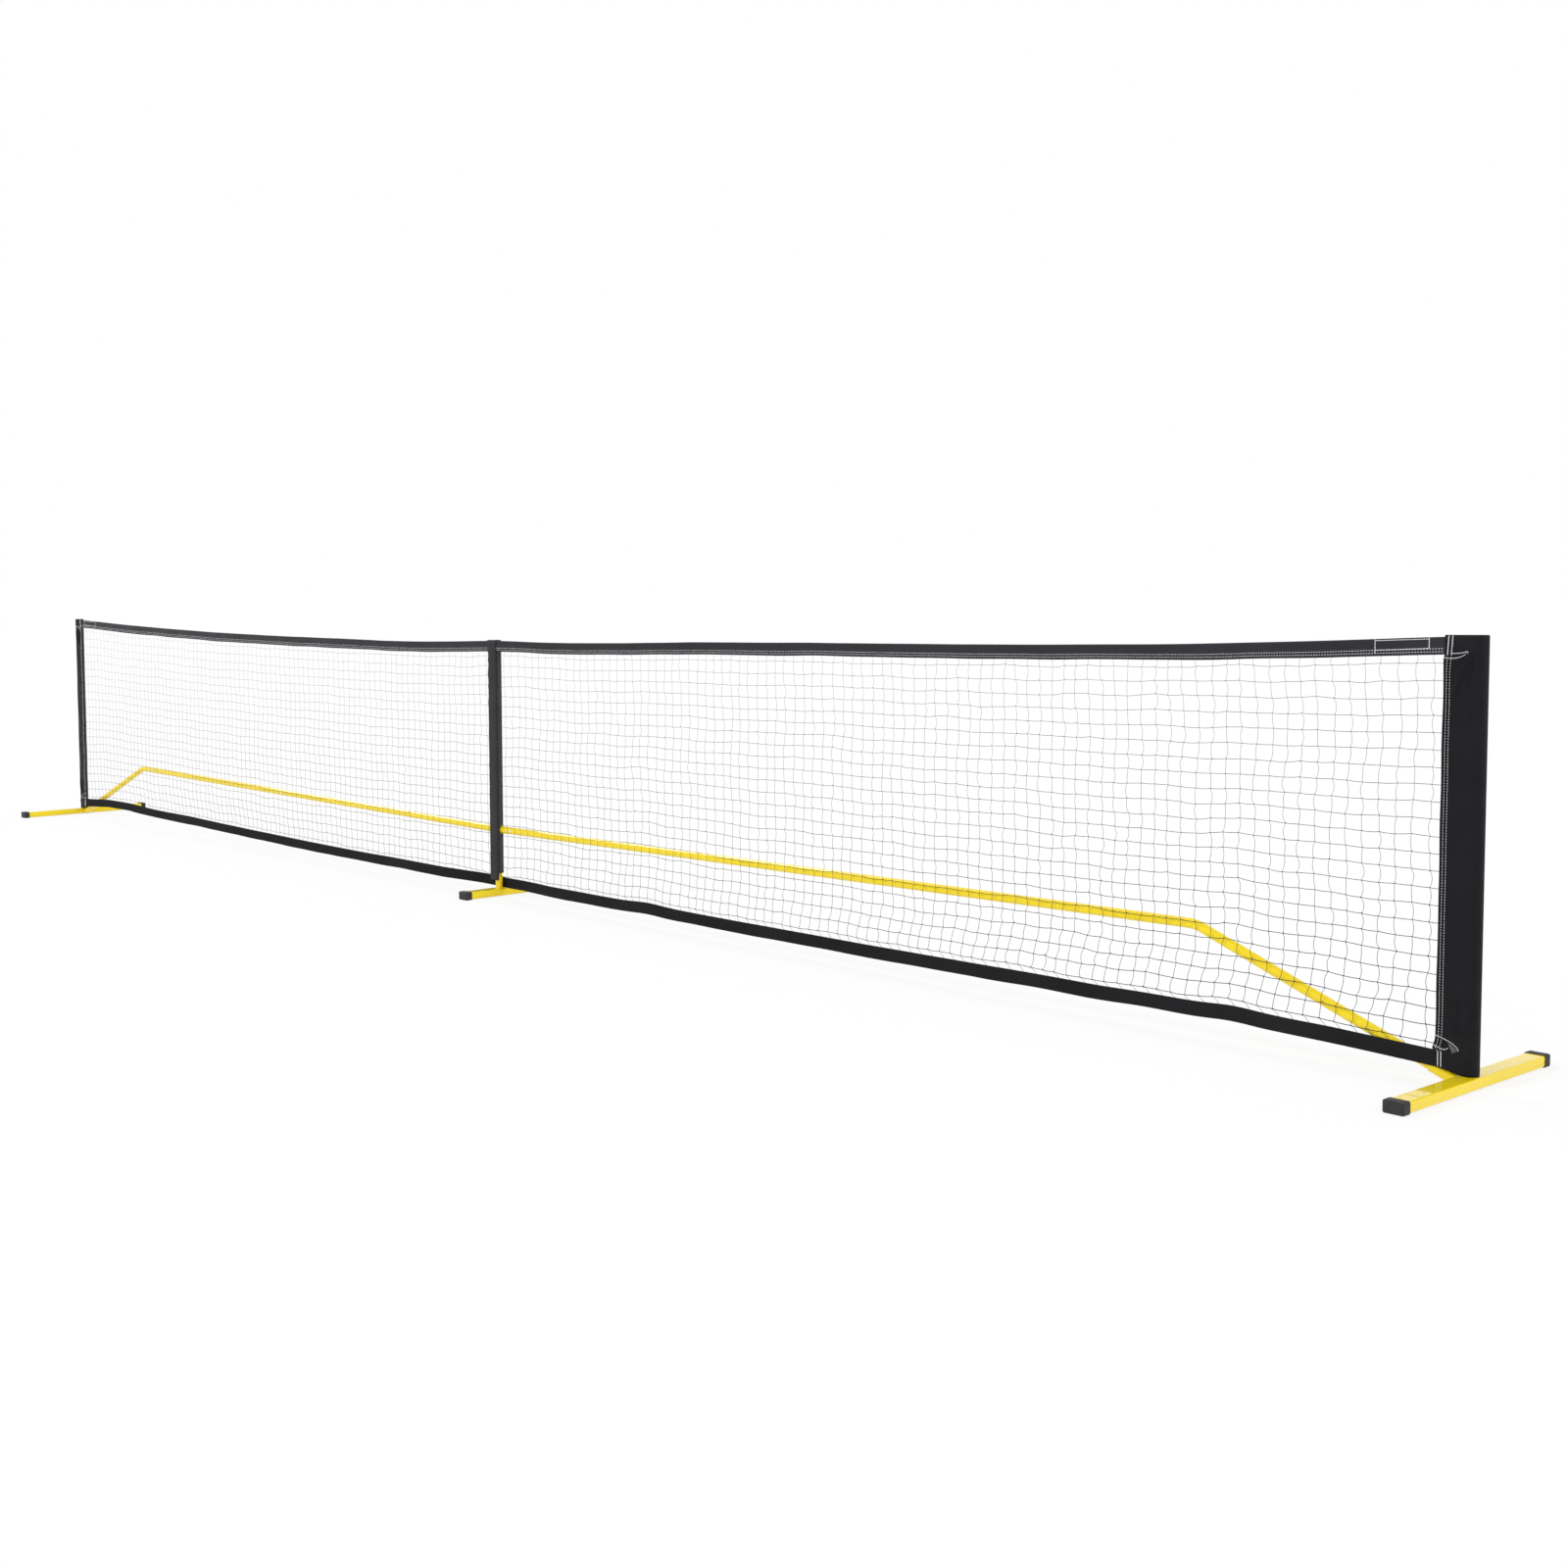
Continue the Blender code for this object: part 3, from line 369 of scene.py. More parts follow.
LOOKS = {
    "powder_coat": powder_coat(),
    "rubber": rubber(),
    "plastic": plastic(),
    "fabric": cloth(
        "black_polyester", (0.0045, 0.0045, 0.0062), (0.0098, 0.0099, 0.0130), 0.0009, 0.12, 0.54
    ),
    "tape": cloth(
        "black_tape", (0.0170, 0.0168, 0.0205), (0.0310, 0.0308, 0.0370), 0.0009, 0.14, sheen=0.05
    ),
    "webbing": cloth(
        "black_webbing", (0.0100, 0.0100, 0.0112), (0.0190, 0.0190, 0.0208), 0.0014, 0.06, 0.75
    ),
    "satin": cloth(
        "black_satin", (0.012, 0.012, 0.015), (0.045, 0.045, 0.052), 0.0006, 0.90, 0.28
    ),
    "net_cord": cord_look("net_twine", (0.012, 0.012, 0.015), (0.034, 0.034, 0.039), 420.0),
    "tie_cord": cord_look("white_cord", (0.42, 0.42, 0.44), (0.62, 0.62, 0.65), 700.0),
    "thread": cord_look("white_thread", (0.78, 0.77, 0.79), (0.92, 0.92, 0.93), 900.0),
    "grey_thread": cord_look("grey_thread", (0.025, 0.025, 0.030), (0.055, 0.055, 0.062), 900.0),
    "zinc": metal("zinc_plate", (0.90, 0.90, 0.91), 0.30, 300.0),
    "spring_steel": metal("spring_steel", (0.42, 0.43, 0.46), 0.35, 500.0),
}

# ---- frame: the CAD solids in their own finish ---------------------------------------


def dress_frame():
    slots = {s["node"]: s["material_slot"] for s in frame["record"]["subparts"]}
    for name, node in NODES.items():
        look = LOOKS[slots[name]]
        if not node.material_slots:
            node.data.materials.append(look)
        for material_slot in node.material_slots:
            material_slot.material = look


# ---- net -----------------------------------------------------------------------------

top_line = TapeLine("top_tape")
bottom_line = TapeLine("bottom_tape")
net_low, net_high = (Vector(c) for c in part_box("net_mesh"))
NET_Y = (net_low.y + net_high.y) / 2
NET_REACH = net_high.x
COLUMNS = int(round(2 * NET_REACH / CELL_WIDTH))


def field(seed, count=7, shortest=0.12, longest=0.7):
    """A smooth pseudo-random field over the net's X and Z."""
    draw = random.Random(seed)
    waves = []
    for _ in range(count):
        length = draw.uniform(shortest, longest)
        turn = draw.uniform(0, math.pi)
        k = 2 * math.pi / length
        waves.append((k * math.cos(turn), k * math.sin(turn), draw.uniform(0, 6.28)))

    def value(x, z):
        return sum(np.sin(a * x + b * z + p) for a, b, p in waves) / math.sqrt(count)

    return value


def net_knots():
    """The knots' places: an array [column, row] of points, rows from bottom to top."""
    slip, lift = field(11), field(12)
    draw = np.random.default_rng(5)
    columns = np.arange(COLUMNS) + 0.5
    x0 = (-NET_REACH + 2 * NET_REACH * columns / COLUMNS)[:, None]
    rows = np.arange(ROWS)[None, :]
    low = bottom_tape.middle(x0, 1)[1]
    high = top_tape.middle(x0, 0)[1]
    share = (rows + FIRST_ROW) / CELLS_HIGH
    z = low + (high - low) * share
    # The slack gathers in the lowest cells, whose cords lean out towards the posts.
    lean = smooth((0.16 - share) / 0.16) * LEAN * np.sign(x0) * smooth(abs(x0) / 2.2)
    jitter = draw.normal(0, 0.0012, z.shape)
    x = x0 + 0.0032 * slip(x0, z) - lean + jitter
    ease = smooth((NET_REACH - abs(x0)) / 0.08)
    x = x0 + (x - x0) * ease
    z = z + (0.0022 * lift(x0, z) + draw.normal(0, 0.0009, z.shape)) * ease
    y = NET_Y - 0.0006 - 0.0008 * np.abs(slip(z, x0))
    return np.stack([x, np.broadcast_to(y, x.shape), z], axis=-1)


def painted_light_thickness(x, z):
    """The twine's thickness, against its middle: thin at the top and left, thick low right.
    Painted light and shade: the real twine is even; thin cords leave the top and left lighter,
    thick ones darken the low right.
    """
    corner = smooth((x - 0.8) / 2.2) * smooth((0.50 - z) / 0.40)
    return 1 + 0.22 * x / NET_REACH + 0.32 * np.clip((0.45 - z) / 0.4, -1, 1) + 0.20 * corner


def lace(name, lines, radius, axis, look):
    """Many cords in one piece. lines is [cord, point, xyz]; axis is the way they run."""
    cords, count = lines.shape[:2]
    sides = CORD_SIDES
    angles = 2 * math.pi * (np.arange(sides) + 0.5) / sides
    across = np.zeros((sides, 3))
    across[:, 1] = np.cos(angles) * radius
    across[:, 2 if axis == 0 else 0] = np.sin(angles) * radius
    # Cord thickness paints light and shade: thinner at the top and left, thicker low right.
    thick = painted_light_thickness(lines[..., 0], lines[..., 2])[..., None, None]
    verts = (lines[:, :, None, :] + across[None, None] * thick).reshape(-1, 3)
    faces = []
    for c in range(cords):
        first = c * count * sides
        faces += grid_faces(count, sides, first)
        faces.append(tuple(range(first, first + sides))[::-1])
        end = first + (count - 1) * sides
        faces.append(tuple(range(end, end + sides)))
    piece = make(name, verts, faces, look)
    outward(piece)
    return piece


def bent(points, per, bows, axis):
    """Points between knots: each span bows sideways by its own amount."""
    spans = points.shape[1] - 1
    steps = np.arange(per) / per
    start, end = points[:, :-1, None, :], points[:, 1:, None, :]
    line = start + (end - start) * steps[None, None, :, None]
    line[..., axis] += bows[:, :, None] * (4 * steps * (1 - steps))[None, None, :]
    line = line.reshape(points.shape[0], spans * per, 3)
    return np.concatenate([line, points[:, -1:, :]], axis=1)


def net():
    knots = net_knots()
    draw = np.random.default_rng(8)
    sway = field(21, count=6, shortest=0.09, longest=0.4)
    # Columns run on into the tapes, rows into the sleeves.
    foot, head = knots[:, :1].copy(), knots[:, -1:].copy()
    side = np.sign(foot[..., 0]) * smooth(abs(foot[..., 0]) / 2.2)
    reach = smooth((NET_REACH - abs(foot[..., 0])) / 0.12)
    foot[..., 0] += 0.016 * side * reach
    foot[..., 1], foot[..., 2] = bottom_tape.middle(foot[..., 0], 0.96)
    head[..., 1], head[..., 2] = top_tape.middle(head[..., 0], 0.04)
    columns = np.concatenate([foot, knots, head], axis=1)
    middle = (columns[:, 1:] + columns[:, :-1]) / 2
    bows = BOW * np.sin(2.2 * sway(middle[..., 0], middle[..., 2]) + 0.4)
    bows += draw.normal(0, 0.0011, bows.shape)
    columns = bent(columns, COLUMN_POINTS, bows, 0)
    rows = np.swapaxes(knots, 0, 1)
    left, right = rows[:, :1].copy(), rows[:, -1:].copy()
    left[..., 0], right[..., 0] = -NET_REACH - 0.004, NET_REACH + 0.004
    for end in (left, right):
        end[..., 1] = NET_Y
    rows = np.concatenate([left, rows, right], axis=1)
    dips = -np.abs(draw.normal(0.0006, 0.0004, (rows.shape[0], rows.shape[1] - 1)))
    rows = bent(rows, ROW_POINTS, dips, 2)
    # Each half is a piece of its own, cut at a knot.
    half = len(columns) // 2
    cut = (rows.shape[1] // 2 // ROW_POINTS) * ROW_POINTS
    look = LOOKS["net_cord"]
    pieces = [
        lace("net_columns_left", columns[:half], COLUMN_CORD, 2, look),
        lace("net_columns_right", columns[half:], COLUMN_CORD, 2, look),
        lace("net_rows_left", rows[:, : cut + 1], ROW_CORD, 0, look),
        lace("net_rows_right", rows[:, cut:], ROW_CORD, 0, look),
    ]
    knot_beads(knots, look)
    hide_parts("net_mesh")


def knot_beads(knots, look):
    """A small turned knot on each crossing."""
    places = knots.reshape(-1, 3)
    draw = np.random.default_rng(3)
    # The knots follow the same painted light and shade: smaller at the top and left, larger low
    # right.
    sizes = KNOT * draw.uniform(0.8, 1.25, len(places)) * painted_light_thickness(places[:, 0], places[:, 2])
    shape = np.array([
        (-1.0, 0, 0.15), (-0.35, -0.75, 0.55), (0.45, -0.75, 0.25), (1.0, 0, -0.15),
        (0.35, 0.75, -0.5), (-0.45, 0.75, -0.2), (0.1, 0, 1.15), (-0.1, 0, -1.15),
    ])
    links = [(0, 1, 6), (1, 2, 6), (2, 3, 6), (3, 4, 6), (4, 5, 6), (5, 0, 6)]
    links += [(b, a, 7) for a, b, _ in links]
    verts = (places[:, None, :] + shape[None] * sizes[:, None, None]).reshape(-1, 3)
    faces = [
        tuple(n * len(shape) + i for i in face) for n in range(len(places)) for face in links
    ]
    outward(make("net_knots", verts, faces, look))


# ---- tapes ---------------------------------------------------------------------------


class Tape:
    """A folded tape along a CAD tape's line, with slack waves.

    Its section is given by (height share, half thickness) pairs from the lower edge up.
    """

    def __init__(self, line, section, side_wave, edge_wave, pucker, lift, run_on=0.0):
        self.line, self.section, self.lift = line, section, lift
        self.reach = line.x[-1] + run_on
        self.side_wave, self.edge_wave, self.pucker = side_wave, edge_wave, pucker

    def thickness(self, share):
        shares, halves = zip(*self.section)
        return np.interp(share, shares, halves)

    def middle(self, x, share):
        """The middle surface's Y and Z."""
        ease = smooth((self.line.x[-1] - abs(x)) / 0.10)
        lift = self.lift(x) * ease
        low = self.line.low(x) + self.edge_wave(x) * ease + lift
        high = self.line.high(x) + 0.35 * self.edge_wave(x + 0.05) * ease + lift
        y = self.line.mid(x) + self.side_wave(x) * ease * (1.15 - share)
        y = y + self.pucker(x) * (1 - share) ** 2
        return y, low + (high - low) * share

    def point(self, x, share, face):
        """A point on the front (-1) or back (1) face."""
        y, z = self.middle(x, share)
        return (x, y + face * self.thickness(share), z)

    def build(self, name, step, look, slot_name):
        reach = self.reach
        shares = [share for share, _ in self.section]
        count = int(2 * reach / step)
        rings = []
        for i in range(count + 1):
            x = -reach + 2 * reach * i / count
            front = [self.point(x, s, -1) for s in shares]
            back = [self.point(x, s, 1) for s in reversed(shares)]
            rings.append(front + back)
        return closed_rings(name, rings, look, sharp=60)


def stitch_rows(name, rows, look, pitch=STITCH_PITCH, length=STITCH_LENGTH, thread=THREAD):
    """Dashes of thread. Each row is (function of distance -> point, total length)."""
    verts, faces = [], []
    for place, total in rows:
        count = max(1, int(total / pitch))
        for i in range(count):
            at = (i + 0.5) * total / count
            a = np.array(place(at - length / 2))
            b = np.array(place(at + length / 2))
            run = b - a
            size = np.linalg.norm(run)
            if size < 1e-6:
                continue
            run = run / size
            side = np.cross(run, (0.0, 1.0, 0.0))
            side = side / np.linalg.norm(side) * thread
            out = np.array((0.0, thread, 0.0))
            first = len(verts)
            quarter = run * size * 0.22
            verts += [a]
            for middle in (a + quarter, b - quarter):
                verts += [middle + side, middle + out, middle - side, middle - out]
            verts += [b]
            for j in range(4):
                k = (j + 1) % 4
                faces.append((first, first + 1 + k, first + 1 + j))
                faces.append((first + 1 + j, first + 1 + k, first + 5 + k, first + 5 + j))
                faces.append((first + 9, first + 5 + j, first + 5 + k))
    outward(make(name, verts, faces, look))


def straight(a, b):
    """A row from a to b as (place, length)."""
    a, b = np.array(a), np.array(b)
    length = float(np.linalg.norm(b - a))
    return (lambda d: a + (b - a) * d / length), length


def zigzag(a, b, width, teeth):
    """Straight stitches to and fro across the line from a to b."""
    a, b = np.array(a), np.array(b)
    along = (b - a) / np.linalg.norm(b - a)
    side = np.cross(along, (0.0, 1.0, 0.0)) * width / 2
    points = []
    for i in range(teeth + 1):
        points.append(a + (b - a) * i / teeth + side * (1 if i % 2 else -1))
    return [straight(p, q) for p, q in zip(points, points[1:])]


top_side, top_edge_wave, top_pucker = Wobble(31, 1.3), Wobble(32, 0.9), Wobble(33, 0.06)
top_tape = Tape(
    top_line,
    [
        (0.0, 0.0010), (0.03, 0.0014), (0.38, 0.0015), (0.42, 0.0011), (0.55, 0.0012),
        (0.72, 0.0016), (0.84, 0.0020), (0.93, 0.0020), (0.98, 0.0014), (1.0, 0.0006),
    ],
    lambda x: 0.0012 * top_side(x),
    lambda x: 0.0009 * top_edge_wave(x),
    lambda x: 0.00022 * top_pucker(x),
    lambda x: 0 * x,
    run_on=TOP_RUN_ON,
)
low_side, low_edge_wave, low_pucker = Wobble(41, 0.9), Wobble(42, 1.0, 6), Wobble(43, 0.09)
# Where the slack bottom tape rises or droops: place, height and reach along X.
PUFFS = (
    (-2.55, -0.006, 0.20), (-0.95, -0.002, 0.30), (0.03, -0.005, 0.10), (0.79, 0.006, 0.09),
    (2.80, 0.005, 0.07), (2.45, -0.002, 0.10),
)


def puffs(x):
    return sum(lift * np.exp(-(((x - place) / reach) ** 2)) for place, lift, reach in PUFFS)


bottom_tape = Tape(
    bottom_line,
    [(0.0, 0.0009), (0.04, 0.0013), (0.5, 0.0014), (0.96, 0.0013), (1.0, 0.0009)],
    lambda x: 0.0014 * low_side(x),
    lambda x: 0.0009 * low_edge_wave(x),
    lambda x: 0.0003 * low_pucker(x),
    puffs,
)


def tapes():
    top = top_tape.build("top_tape_cloth", 0.016, LOOKS["tape"], "fabric")
    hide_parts("top_tape")
    reach = top_line.x[-1]
    bottom = bottom_tape.build("bottom_tape_cloth", 0.020, LOOKS["webbing"], "fabric")
    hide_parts("bottom_tape")
    for face, word in ((-1, "front"), (1, "back")):
        rows = []
        for share in (0.17, 0.34):
            rows.append((
                lambda d, s=share: np.array(top_tape.point(d - reach, s, face))
                + (0, face * 0.0003, 0),
                2 * reach,
            ))
        stitch_rows(
            f"top_tape_stitches_{word}", rows, LOOKS["thread"], length=0.0045, thread=TAPE_THREAD
        )
    boxes = []
    for side in (-1, 1):
        x0, x1 = side * (reach - 0.146), side * (reach - 0.030)

        def on(x, share):
            return np.array(top_tape.point(x, share, -1)) + (0, -THREAD * 0.5, 0)

        boxes += [
            straight(on(x0, 0.90), on(x1, 0.90)),
            straight(on(x0, 0.35), on(x1, 0.37)),
            *zigzag(on(x0, 0.20), on(x0, 0.98), 0.0018, 9),
            *zigzag(on(x1, 0.37), on(x1, 0.96), 0.0018, 8),
        ]
    stitch_rows(
        "box_stitches", boxes, LOOKS["thread"], pitch=0.0042, length=0.0037, thread=BOX_THREAD
    )


# ---- sleeves -------------------------------------------------------------------------


class Sleeve:
    """Side sleeve: cloth round the post, doubled and sewn towards the net."""

    HEM = 0.020               # width of the doubled part
    LEVELS = 110              # rings of points, from the lower edge to the top
    FRONT_POINTS = 44
    ROWS = (0.0068, 0.0136)   # stitch rows, from the inner edge
    SEAM = 0.0030             # how far behind the front the back layer meets it
    ROOF = 0.0022             # height over which the top rounds over
    FLARE = 0.0054            # how far the inner edge stands out above the bottom tape
    TOP_STEP = 0.0028         # how far it stands back at the top tape
    LAYER = 0.0011            # the top tape's own layer across the sleeve
    CREASE = 1.5              # depth of the creases, as a share of the table's
    # From and to, by the inner edge and the sleeve's top or bottom; width; depth.
    TOP_CREASES = (
        ((0.050, -0.034), (0.022, -0.120), 0.0030, 0.0034),
        ((0.045, -0.038), (0.017, -0.085), 0.0026, -0.0022),
        ((0.057, -0.036), (0.030, -0.105), 0.0030, 0.0030),
        ((0.064, -0.040), (0.044, -0.120), 0.0036, -0.0020),
        ((0.066, -0.060), (0.040, -0.240), 0.0070, 0.0016),
    )
    LOW_CREASES = (
        ((0.020, 0.064), (0.047, 0.050), 0.0036, -0.0026),
        ((0.022, 0.074), (0.052, 0.060), 0.0034, 0.0024),
        ((0.052, 0.050), (0.070, 0.030), 0.0050, 0.0022),
        ((0.050, 0.056), (0.066, 0.130), 0.0060, 0.0024),
        ((0.045, 0.062), (0.048, 0.140), 0.0050, -0.0016),
    )

    def __init__(self, word, side):
        self.word, self.side = word, side
        low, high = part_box(f"{word}_sleeve")
        self.inner, self.outer = sorted((abs(low[0]), abs(high[0])))
        self.bottom, self.top = low[2], high[2]
        self.front = low[1]
        self.radius = -self.front
        self.post = self.outer - self.radius
        points = node_points(f"{word}_sleeve")
        inside = points[abs(abs(points[:, 0]) - self.inner) < 2e-4]
        self.rise = inside[:, 2].min() - self.bottom
        self.drift = Wobble(50 + side, 0.5)
        self.fold = field(60 + side, count=6, shortest=0.05, longest=0.25)
        self.flare_z = float(bottom_line.high(side * self.inner)) + 0.0035
        inner = self.inner
        self.creases = [
            ((inner + a[0], base + a[1]), (inner + b[0], base + b[1]), width, depth)
            for base, table in ((self.top, self.TOP_CREASES), (self.bottom, self.LOW_CREASES))
            for a, b, width, depth in table
        ]

    def outline(self):
        """(x, y) round the sleeve: front from the net's side, the post, and the back."""
        points = []
        for i in range(self.FRONT_POINTS):
            across = (self.post - self.inner) * i / self.FRONT_POINTS
            points.append((self.inner + across, self.front))
        for i in range(15):
            angle = math.radians(-90 + 200 * i / 14)
            points.append((
                self.post + self.radius * math.cos(angle),
                self.radius * math.sin(angle),
            ))
        end = points[-1]
        seam = (self.inner + self.HEM, self.front + self.SEAM)
        for i in range(1, 7):
            t = i / 6
            points.append((end[0] + (seam[0] - end[0]) * t, end[1] + (seam[1] - end[1]) * t))
        for i in range(1, 5):
            points.append((seam[0] + (self.inner - seam[0]) * i / 4, seam[1]))
        return points

    def lowest(self, x):
        """Height of the lower edge, which slopes up towards the net."""
        return self.bottom + self.rise * min(1, max(0, (self.outer - 0.028 - x) / 0.055))

    def edge_shift(self, z):
        """The inner edge's shift: towards the net by the bottom tape, away by the top tape."""
        width = 0.012 if z > self.flare_z else 0.003
        flare = -self.FLARE * math.exp(-(((z - self.flare_z) / width) ** 2))
        return flare + self.TOP_STEP * float(smooth((z - self.top + 0.042) / 0.004))

    def crease(self, x, z, a, b, width, depth):
        """A rounded fold along the line from a to b, in the cloth's (x, z)."""
        ax, az = a
        bx, bz = b
        run = (bx - ax, bz - az)
        t = ((x - ax) * run[0] + (z - az) * run[1]) / (run[0] ** 2 + run[1] ** 2)
        t = min(1.0, max(0.0, t))
        away = math.hypot(x - ax - run[0] * t, z - az - run[1] * t)
        along = math.sin(math.pi * (0.15 + 0.8 * t)) ** 0.5
        return self.CREASE * depth * math.exp(-((away / width) ** 2)) * along

    def surface(self, x, y, z):
        """Where the outline's point (x, y) goes at height z, with folds and creases."""
        over_post = smooth((x - self.inner - self.HEM) / 0.02)
        faces_front = smooth((-0.010 - y) / 0.005)
        out = 0.0009 * self.fold(x, z * 0.6)
        for a, b, width, depth in self.creases:
            out += self.crease(x, z, a, b, width, depth)
        # The top tape runs on across the sleeve as a second layer.
        out += self.LAYER * smooth((z - (self.top - 0.0375)) / 0.0015)
        y2 = y - out * faces_front * (0.35 + 0.65 * over_post if out < 0 else 1.0)
        near = 1 - smooth((x - self.inner) / (2.2 * self.HEM))
        hold = 1 if x < self.inner + 0.002 else 0.4
        edge = 0.0006 * self.drift(z) * (1 - over_post) * hold
        return x + edge + self.edge_shift(z) * near, y2

    def build(self):
        outline = self.outline()
        roof = self.top - self.ROOF
        verts = []
        for i in range(self.LEVELS + 1):
            for x, y in outline:
                low = self.lowest(x)
                z = low + (roof - low) * (i / self.LEVELS) ** 1.15
                u, v = self.surface(x, y, z)
                verts.append((self.side * u, v, z))
        # The top rounds over and closes above the post.
        centre = self.front + 0.0015
        for shrink, rise in ((0.05, 0.0012), (0.16, 0.0019), (0.40, 0.0022)):
            for x, y in outline:
                middle = centre * (1 - float(smooth((x - self.inner - self.HEM) / 0.03)))
                u, v = self.surface(x, y, self.top)
                pull = shrink * (1.0 if x > self.inner + self.HEM else 0.6)
                verts.append((
                    self.side * (u + (self.post - 0.03 - u) * shrink * 0.10),
                    v + (middle - v) * pull,
                    roof + rise,
                ))
        rows = self.LEVELS + 4
        count = len(outline)
        faces = grid_faces(rows, count)
        faces.append(tuple(range((rows - 1) * count, rows * count)))
        name = f"{self.word}_sleeve_cloth"
        piece = make(name, verts, faces, LOOKS["fabric"], sharp=50)
        outward(piece)
        thick = piece.modifiers.new("cloth", "SOLIDIFY")
        thick.thickness = FABRIC
        thick.offset = -1
        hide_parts(f"{self.word}_sleeve")

    def on_front(self, x, z, lift):
        u, v = self.surface(x, self.front, z)
        return np.array((self.side * u, v - lift, z))

    def on_back(self, x, z):
        return np.array((self.side * x, self.front + self.SEAM + 0.0002, z))

    def row_x(self, inset, z):
        """Where a stitch row runs: it leans out over the top tape."""
        lean = smooth((z - (self.top - 0.080)) / 0.060)
        return self.inner + inset * (1 + 0.30 * lean)

    def stitches(self):
        """Two fine seams up the hem, tacked over with zigzags at both ends."""
        word = self.word
        start = self.bottom + 0.012
        height = self.top - self.bottom - 0.055
        tacks = (
            (self.top - 0.0015, self.top - 0.041, 14),
            (self.bottom + 0.041, self.bottom + self.rise + 0.001, 11),
        )
        fine, bold = [], []
        for inset in self.ROWS:

            def seen(d, i=inset):
                return self.on_front(self.row_x(i, start + d), start + d, 0.0003)

            def behind(d, i=inset):
                return self.on_back(self.inner + i, start + d)

            fine += [(seen, height), (behind, height)]
            for start_z, end_z, teeth in tacks:
                bold += zigzag(
                    self.on_front(self.row_x(inset, start_z), start_z, 0.0006),
                    self.on_front(self.row_x(inset, end_z), end_z, 0.0006),
                    0.0019,
                    teeth,
                )
        thread = LOOKS["thread"]
        stitch_rows(f"{word}_sleeve_stitches", fine, thread, pitch=0.0056, length=0.0040)
        stitch_rows(
            f"{word}_sleeve_tacks", bold, thread, pitch=0.0030, length=0.0030, thread=TACK_THREAD
        )


# ---- centre band ---------------------------------------------------------------------


def even(points, count):
    """A path resampled to evenly spaced points."""
    points = np.array(points)
    along = np.r_[0, np.cumsum(np.linalg.norm(np.diff(points, axis=0), axis=1))]
    want = np.linspace(0, along[-1], count)
    return np.stack([np.interp(want, along, points[:, k]) for k in range(2)], axis=1)


def wrap(radius, edge, count):
    """The band's back layer from above: left edge, round the pole, right edge."""
    first = math.atan2(edge[1], edge[0]) + math.acos(radius / math.hypot(*edge))
    angles = np.linspace(math.pi - first, first, 24)
    arc = np.stack([radius * np.cos(angles), radius * np.sin(angles)], axis=1)
    return even([(-edge[0], edge[1]), *arc, edge], count)


BAND_TURN = 0.0035         # radius where the band turns over the tape
BAND_STEPS = 74            # rings of points down each side
BAND_ACROSS = 28
ARM_HOLE = 0.0145          # radius of the back layer's opening round the tee's arms
SEWN_GAP = 0.00065         # half the distance between layers sewn together


